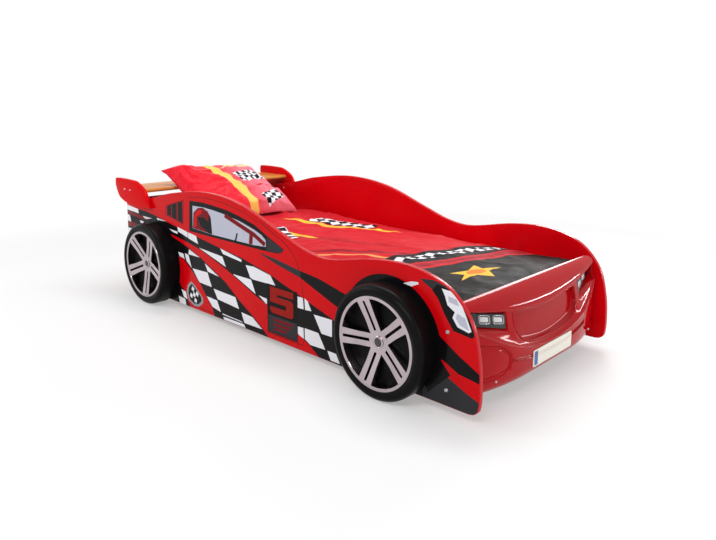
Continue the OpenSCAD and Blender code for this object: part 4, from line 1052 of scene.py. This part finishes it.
def mattress_material():
    t = Tree("mattress ticking")
    big = t.bump(t.noise(60, 4), 0.2, 0.001)
    tone = t.blend(t.ramp(t.noise(40, 3), 0, 1), srgb(236, 236, 230), srgb(222, 222, 214))
    return t.set(colour=tone, rough=0.85, spec=0.2, sheen=0.3, normal=weave(t, 0.0012, big, 0.3))


def make_mattress():
    """Quilted top and bottom with a sewn border and piping."""
    x0, x1, y1, z0, z1 = -1002, 998, 450, 200.4, 339.6

    def height(x, y):
        d = min(x - x0, x1 - x, y1 - abs(y))
        quilt = abs(math.sin(math.pi * (x + y) / 150) * math.sin(math.pi * (x - y) / 150)) ** 0.5
        return (1 - max(0, 1 - d / 28) ** 2.4) * 10 - 6 * (1 - quilt) * ease(d / 30)
    us, vs = [mix(x0, x1, s) for s in crowded(120)], [mix(-y1, y1, s) for s in crowded(60)]
    top = [[(x, y, z1 - 10 + height(x, y)) for y in vs] for x in us]
    low = [[(x, y, z0 + 10 - height(x, y)) for y in vs] for x in us]
    ticking = mattress_material()
    o = two_skins("mattress_quilted", top, low, [ticking], slot="mattress_white", replaces="mattress",
                  sharp=60)
    ring = round_box(x0 + 1.5, -y1 + 1.5, x1 - 1.5, y1 - 1.5, 30, 8)
    for word, z in (("low", z0 + 11), ("top", z1 - 11)):
        path = [(x, y, z) for x, y in ring]
        tube(f"mattress_piping_{word}", path, 3, (0, 0, 1), ticking, "mattress_white")


DUVET_LOW, DUVET_X0, DUVET_X1 = MATTRESS_TOP + 0.3, X_HEAD_IN + 390, X_FLANGE - 0.3
DUVET_HALF = Y_IN - 6
TUCKED = 110  # length of the duvet that lies under the pillow


def duvet_z(s, w):
    out = abs(2 * w - 1)
    hem = 1 - max(0, 1 - s / 0.06) ** 2
    side = 1 - max(0, (out - 0.9) / 0.1) ** 3
    full = mix(36, 14, ease(s * 1.1)) + 20 * (1 - out**2.5)
    return DUVET_LOW + 6 + (full - 6) * hem * side


def cotton(t, colour, rough, sheen, folds=0.010):
    """Cotton satin: fine weave over small creases."""
    crease = t.bump(t.noise(9, 5, 0.6, stretch=(1.0, 0.45, 1.0)), 0.55, folds)
    small = t.bump(t.noise(34, 4, 0.6, stretch=(0.6, 1.0, 1.0)), 0.35, 0.004, crease)
    return t.set(colour=colour, rough=t.ramp(t.noise(14, 3), rough * 0.9, rough * 1.2), spec=0.08,
                 sheen=sheen, sheen_rough=0.4, normal=weave(t, 0.0011, small, 0.2))


def duvet_material():
    t = Tree("duvet print")
    p = Print(t, srgb(196, 22, 36))
    p.lay(p.swoosh(-52, 46, -34, 18, 24, 9), srgb(176, 14, 28))
    p.lay(p.swoosh(-56, -6, -22, -6, -4, 9), ORANGE)
    p.lay(p.swoosh(-54, 4, -12, 10, -10, 7), YELLOW)
    p.lay(p.swoosh(-44, 22, 6, 8, 12, 5), YELLOW)
    checks = p.checks(4.4, 24, BLACK, WHITE)
    p.lay(p.polygon([(-32, -14), (-6, -26), (-2, -19), (-28, -6)]), checks)
    p.lay(p.polygon([(-30, 12), (4, 22), (2, 31), (-34, 22)]), checks)
    p.lay(p.swoosh(6, 60, -40, -10, 40, 2.4), srgb(226, 150, 90))
    p.lay(p.swoosh(14, 70, -30, -6, 44, 5), srgb(140, 12, 26))
    p.lay(p.polygon([(40, -45), (54, -45), (78, 46), (64, 46)]), BLACK)
    p.lay(p.polygon([(43.5, -45), (49, -45), (73, 46), (67.5, 46)]), p.checks(3.6, -14, WHITE, BLACK))
    p.lay(p.polygon([(56, -45), (60, -45), (84, 46), (80, 46)]), srgb(150, 16, 32))
    p.lay(p.polygon([(62, -45), (120, -46), (120, 46), (86, 46)]), srgb(14, 12, 10))
    tips, dents = arc(86, -8, 8, range(0, 360, 72), 14), arc(86, -8, 3.6, range(36, 396, 72), 6.4)
    for i, tip in enumerate(tips):
        p.lay(p.polygon([tip, dents[i], (86, -8), dents[i - 1]]), YELLOW)
    p.lay(p.disc(86, -8, 3.2, 0.7), ORANGE)
    return cotton(t, p.colour, rough=0.55, sheen=0.03)


def ridge(x, y, size, seed):
    """Sharp-crested creases about 1 high at most, on a level of about 0."""
    def wave(k):
        return noise.noise(Vector((x / size * k, y / size * k, seed)))
    return (1 - min(1, abs(wave(1) + 0.35 * wave(2.3)) * 3)) ** 1.6 - 0.3


def make_duvet():
    def wrinkle(x, y, s):
        n = noise.noise(Vector((x / 260, y / 120, 3.1))) * 8
        n += 9 * ridge(x, y, 190, 5.3) + 4 * ridge(x, y, 80, 2.4)
        return n * ease(s / 0.04) * (1 - 0.4 * ease((s - 0.5) / 0.4))
    top, low, shares = [], [], crowded(72, 0.35)
    for s in spread(0, 1, 130):
        x = mix(DUVET_X0 - TUCKED, DUVET_X1 - 2, s)
        top.append([(x, mix(-DUVET_HALF, DUVET_HALF, w), duvet_z(s, w) - 3
                     + wrinkle(x, mix(-450, 450, w), s) * ease(min(w, 1 - w) / 0.06)) for w in shares])
        low.append([(x, mix(-DUVET_HALF, DUVET_HALF, w), DUVET_LOW + 0.5) for w in shares])
    o = two_skins("duvet_printed", top, low, [duvet_material()], slot="duvet_print", replaces="duvet",
                  sharp=80)
    inflate(o, pressure=3.0, cap=0.008, voxel=0.009)


# The pillow leans with its foot on the duvet against the wing's rounded front edge.
LEAN_FOOT = (DUVET_X0 + 82, DUVET_LOW + 36 + 20 + 0.3)
LEAN_RUN, LEAN_RISE = WING_FRONT - BOARD / 2 - LEAN_FOOT[0], WING_Z + BOARD / 2 - LEAN_FOOT[1]
LEAN_REACH = math.hypot(LEAN_RUN, LEAN_RISE)
LEAN = math.atan2(LEAN_RISE, LEAN_RUN) - math.asin((BOARD / 2 + 0.3) / LEAN_REACH)
PILLOW_L, PILLOW_W, PILLOW_H = 510, 600, 86


def pillow_point(s, w, h):
    """A point at shares s and w of the pillow's length and width, h over the plane it leans on."""
    narrow, short = (1 - 0.07 * (1 - (2 * k - 1) ** 2) for k in (s, w))
    d = PILLOW_L * (0.5 + (s - 0.5) * short)
    lift = 34 * ease((s - 0.6) / 0.4) * (1 - w) ** 1.5
    droop = 13 * ease(1 - s / 0.3) * (2 * w - 1) ** 2
    return (LEAN_FOOT[0] + d * math.cos(LEAN) + h * math.sin(LEAN), (w - 0.5) * PILLOW_W * narrow - 22,
            LEAN_FOOT[1] + d * math.sin(LEAN) - h * math.cos(LEAN) + lift - droop)


def puff(s, w):
    return math.prod(max(0, 1 - abs(2 * k - 1) ** 3.4) ** 0.5 for k in (s, w))


def pillow_material():
    t = Tree("pillow print")
    # the print lies in the pillow's plane: first across the bed, then up the pillow
    off = t.vector("SUBTRACT", t.where, tuple(Vector(pillow_point(0.5, 0.5, 0)) * 0.001))
    plane = t.add("ShaderNodeCombineXYZ")
    t.put(t.vector("DOT_PRODUCT", off, (0, -1, 0)), plane.inputs[0])
    t.put(t.vector("DOT_PRODUCT", off, (math.cos(LEAN), 0, math.sin(LEAN))), plane.inputs[1])
    t.where = plane.outputs[0]
    p = Print(t, srgb(206, 30, 66))
    fade = t.ramp(p.x, 0, 1, 6, -14)
    p.colour = t.blend(fade, srgb(222, 22, 44), srgb(228, 112, 128))
    p.lay(p.polygon([(-4, -27), (1, -27), (9, 28), (3, 28)]), srgb(240, 196, 96))
    p.lay(p.polygon([(-24, 2), (-5, -3), (-3, 7), (-21, 12)]), p.checks(2.6, 20, BLACK, WHITE))
    p.lay(p.polygon([(-22, -18), (-10, -22), (-8, -15), (-20, -11)]), p.checks(2.6, -12, BLACK, WHITE))
    p.lay(p.swoosh(-28, 0, 18, -8, 4, 3), srgb(244, 206, 140))
    p.lay(p.swoosh(-29, -6, -6, 5, -4, 2), srgb(200, 30, 50))
    return cotton(t, p.colour, rough=0.34, sheen=0.12, folds=0.035)


def make_pillow():
    def crumple(s, w):
        x, y = s * PILLOW_L, w * PILLOW_W
        return 18 * ridge(x, y, 210, 1.7) + 13 * ridge(x, y, 100, 6.1)
    top, low, shares = [], [], crowded(70)
    for s in shares:
        sag = 16 * ease(1 - abs(s * PILLOW_L / LEAN_REACH - 0.55) / 0.3)
        top.append([pillow_point(s, w, 4 + (PILLOW_H - 14 + crumple(s, w)) * puff(s, w)) for w in shares])
        low.append([pillow_point(s, w, 1.5 - sag * puff(s, w)) for w in shares])
    o = two_skins("pillow_printed", top, low, [pillow_material()], slot="pillow_print", replaces="pillow",
                  sharp=80)
    inflate(o, pressure=4.0, cap=0.012, voxel=0.007)


make_mattress()
make_duvet()
make_pillow()


# ---- Materials of the pieces that stay as they were built ----
def web():
    t = Tree("woven tape")
    return t.set(colour=srgb(224, 218, 198), rough=0.9, normal=weave(t, 0.0016, None, 0.5))


BUILT = {"slat_straps": web(), "former": RAW, "bumper_batten": PINE_Y, "slat_rail": PINE, "centre_beam": PINE,
         "centre_leg": PAINTED, "beam_hangers": PAINTED, "leg_pads": RUBBER, "panel_glides": GLIDE,
         "screws": ZINC, "panel_bolts": ZINC, "barrel_nuts": ZINC, "slat_": BIRCH}
for name, o in nodes.items():
    mat = next((m for k, m in BUILT.items() if k in name), None)
    if mat:
        o.data.materials.clear()
        o.data.materials.append(mat)


# ---- Floor, light and camera ----
def make_floor():
    """Lit floor near the bed; further out camera, gloss and see-through material see plain white."""
    t = Tree("studio floor")
    path = t.add("ShaderNodeLightPath")
    seen = t.maths("MAXIMUM", path.outputs["Is Camera Ray"], path.outputs["Is Glossy Ray"])
    seen = t.maths("MAXIMUM", seen, path.outputs["Is Transmission Ray"])
    far = t.ramp(t.vector("LENGTH", t.where), 0.35, 1.0, 1.2, 3.2)
    t.set(colour=(0.88, 0.88, 0.88, 1), rough=0.9, spec=0.1, normal=t.bump(t.noise(30, 3), 0.02, 0.001))
    blend = t.add("ShaderNodeMixShader")
    t.put(t.maths("MULTIPLY", seen, far), blend.inputs[0])
    t.put(t.shader.outputs[0], blend.inputs[1])
    t.put(t.add("ShaderNodeEmission").outputs[0], blend.inputs[2])
    t.put(blend.outputs[0], t.nodes["Material Output"].inputs[0])
    me = bpy.data.meshes.new("floor")
    me.from_pydata([(x, y, -0.001) for x, y in circle(0, 0, 30, 64)], [], [list(range(64))])
    me.materials.append(t.mat)
    stage(bpy.data.objects.new("floor", me))


def stage(o):
    bpy.context.scene.collection.objects.link(o)


def make_world():
    """Pale light on the bed, and plain white for camera, gloss and see-through material."""
    world = bpy.data.worlds.new("studio")
    bpy.context.scene.world = world
    world.use_nodes = True
    wn, wl = world.node_tree.nodes, world.node_tree.links
    path = wn.new("ShaderNodeLightPath")
    lit = wn["Background"]
    lit.inputs["Color"].default_value = (1, 1, 1, 1)
    lit.inputs["Strength"].default_value = 0.38
    seen = lit.outputs[0]
    for ray in ("Is Camera Ray", "Is Glossy Ray", "Is Transmission Ray"):
        white, blend = wn.new("ShaderNodeBackground"), wn.new("ShaderNodeMixShader")
        white.inputs["Color"].default_value = (1, 1, 1, 1)
        wl.new(path.outputs[ray], blend.inputs[0])
        wl.new(seen, blend.inputs[1])
        wl.new(white.outputs[0], blend.inputs[2])
        seen = blend.outputs[0]
    wl.new(seen, wn["World Output"].inputs[0])


LAMPS = (  # name, place, aim, size, power; "front" and "low" are thin, for line highlights on the bumper
    ("key", (1.7, -3.0, 2.6), (0.2, -0.3, 0.3), (2.4, 0.6), 52),
    ("tail", (-2.2, -2.6, 1.7), (-0.5, -0.4, 0.3), (0.5, 1.8), 30),
    ("front", (3.4, 0.6, 1.2), (1.1, 0, 0.2), (2.0, 0.06), 18),
    ("top", (-0.3, 0.3, 3.0), (-0.1, 0, 0.4), (2.6, 0.6), 46),
    ("far", (0.2, 2.4, 1.8), (0.9, 0, 0.38), (0.9, 1.3), 44),
    ("low", (2.4, 2.2, 0.6), (1.1, 0.1, 0.3), (0.9, 0.07), 9))


def make_lamps():
    for name, place, at, size, power in LAMPS:
        lamp = bpy.data.lights.new(name, "AREA")
        lamp.shape, lamp.size, lamp.size_y, lamp.energy = "RECTANGLE", size[0], size[1], power
        o = bpy.data.objects.new(name, lamp)
        o.location = place
        o.rotation_euler = (Vector(at) - Vector(place)).to_track_quat("-Z", "Y").to_euler()
        stage(o)


def make_camera():
    """The photograph's camera, fitted to its printed sizes; lengths on the picture are in its pixels."""
    yaw, pitch, roll = 0.75679, 0.148818, 0.004216
    width, focal, middle, horizon_row = 716, 650.698, 270, 198.4
    d = Vector((-math.sin(yaw) * math.cos(pitch), math.cos(yaw) * math.cos(pitch), -math.sin(pitch)))
    r = Vector((math.cos(yaw), math.sin(yaw), 0))
    u = r.cross(d)
    c, s = math.cos(roll), math.sin(roll)
    r, u = c * r + s * u, -s * r + c * u
    data = bpy.data.cameras.new("camera")
    data.sensor_width = 36
    data.lens = focal / width * 36
    data.shift_y = -(middle - horizon_row) / width
    cam = bpy.data.objects.new("camera", data)
    turn = Matrix((r, u, -d)).transposed().to_4x4()
    cam.matrix_world = Matrix.Translation((2.16538, -2.11084, 1.01101)) @ turn
    bpy.context.scene.camera = cam
    stage(cam)


make_floor()
make_world()
make_lamps()
make_camera()
bpy.context.scene.view_settings.view_transform = "Standard"
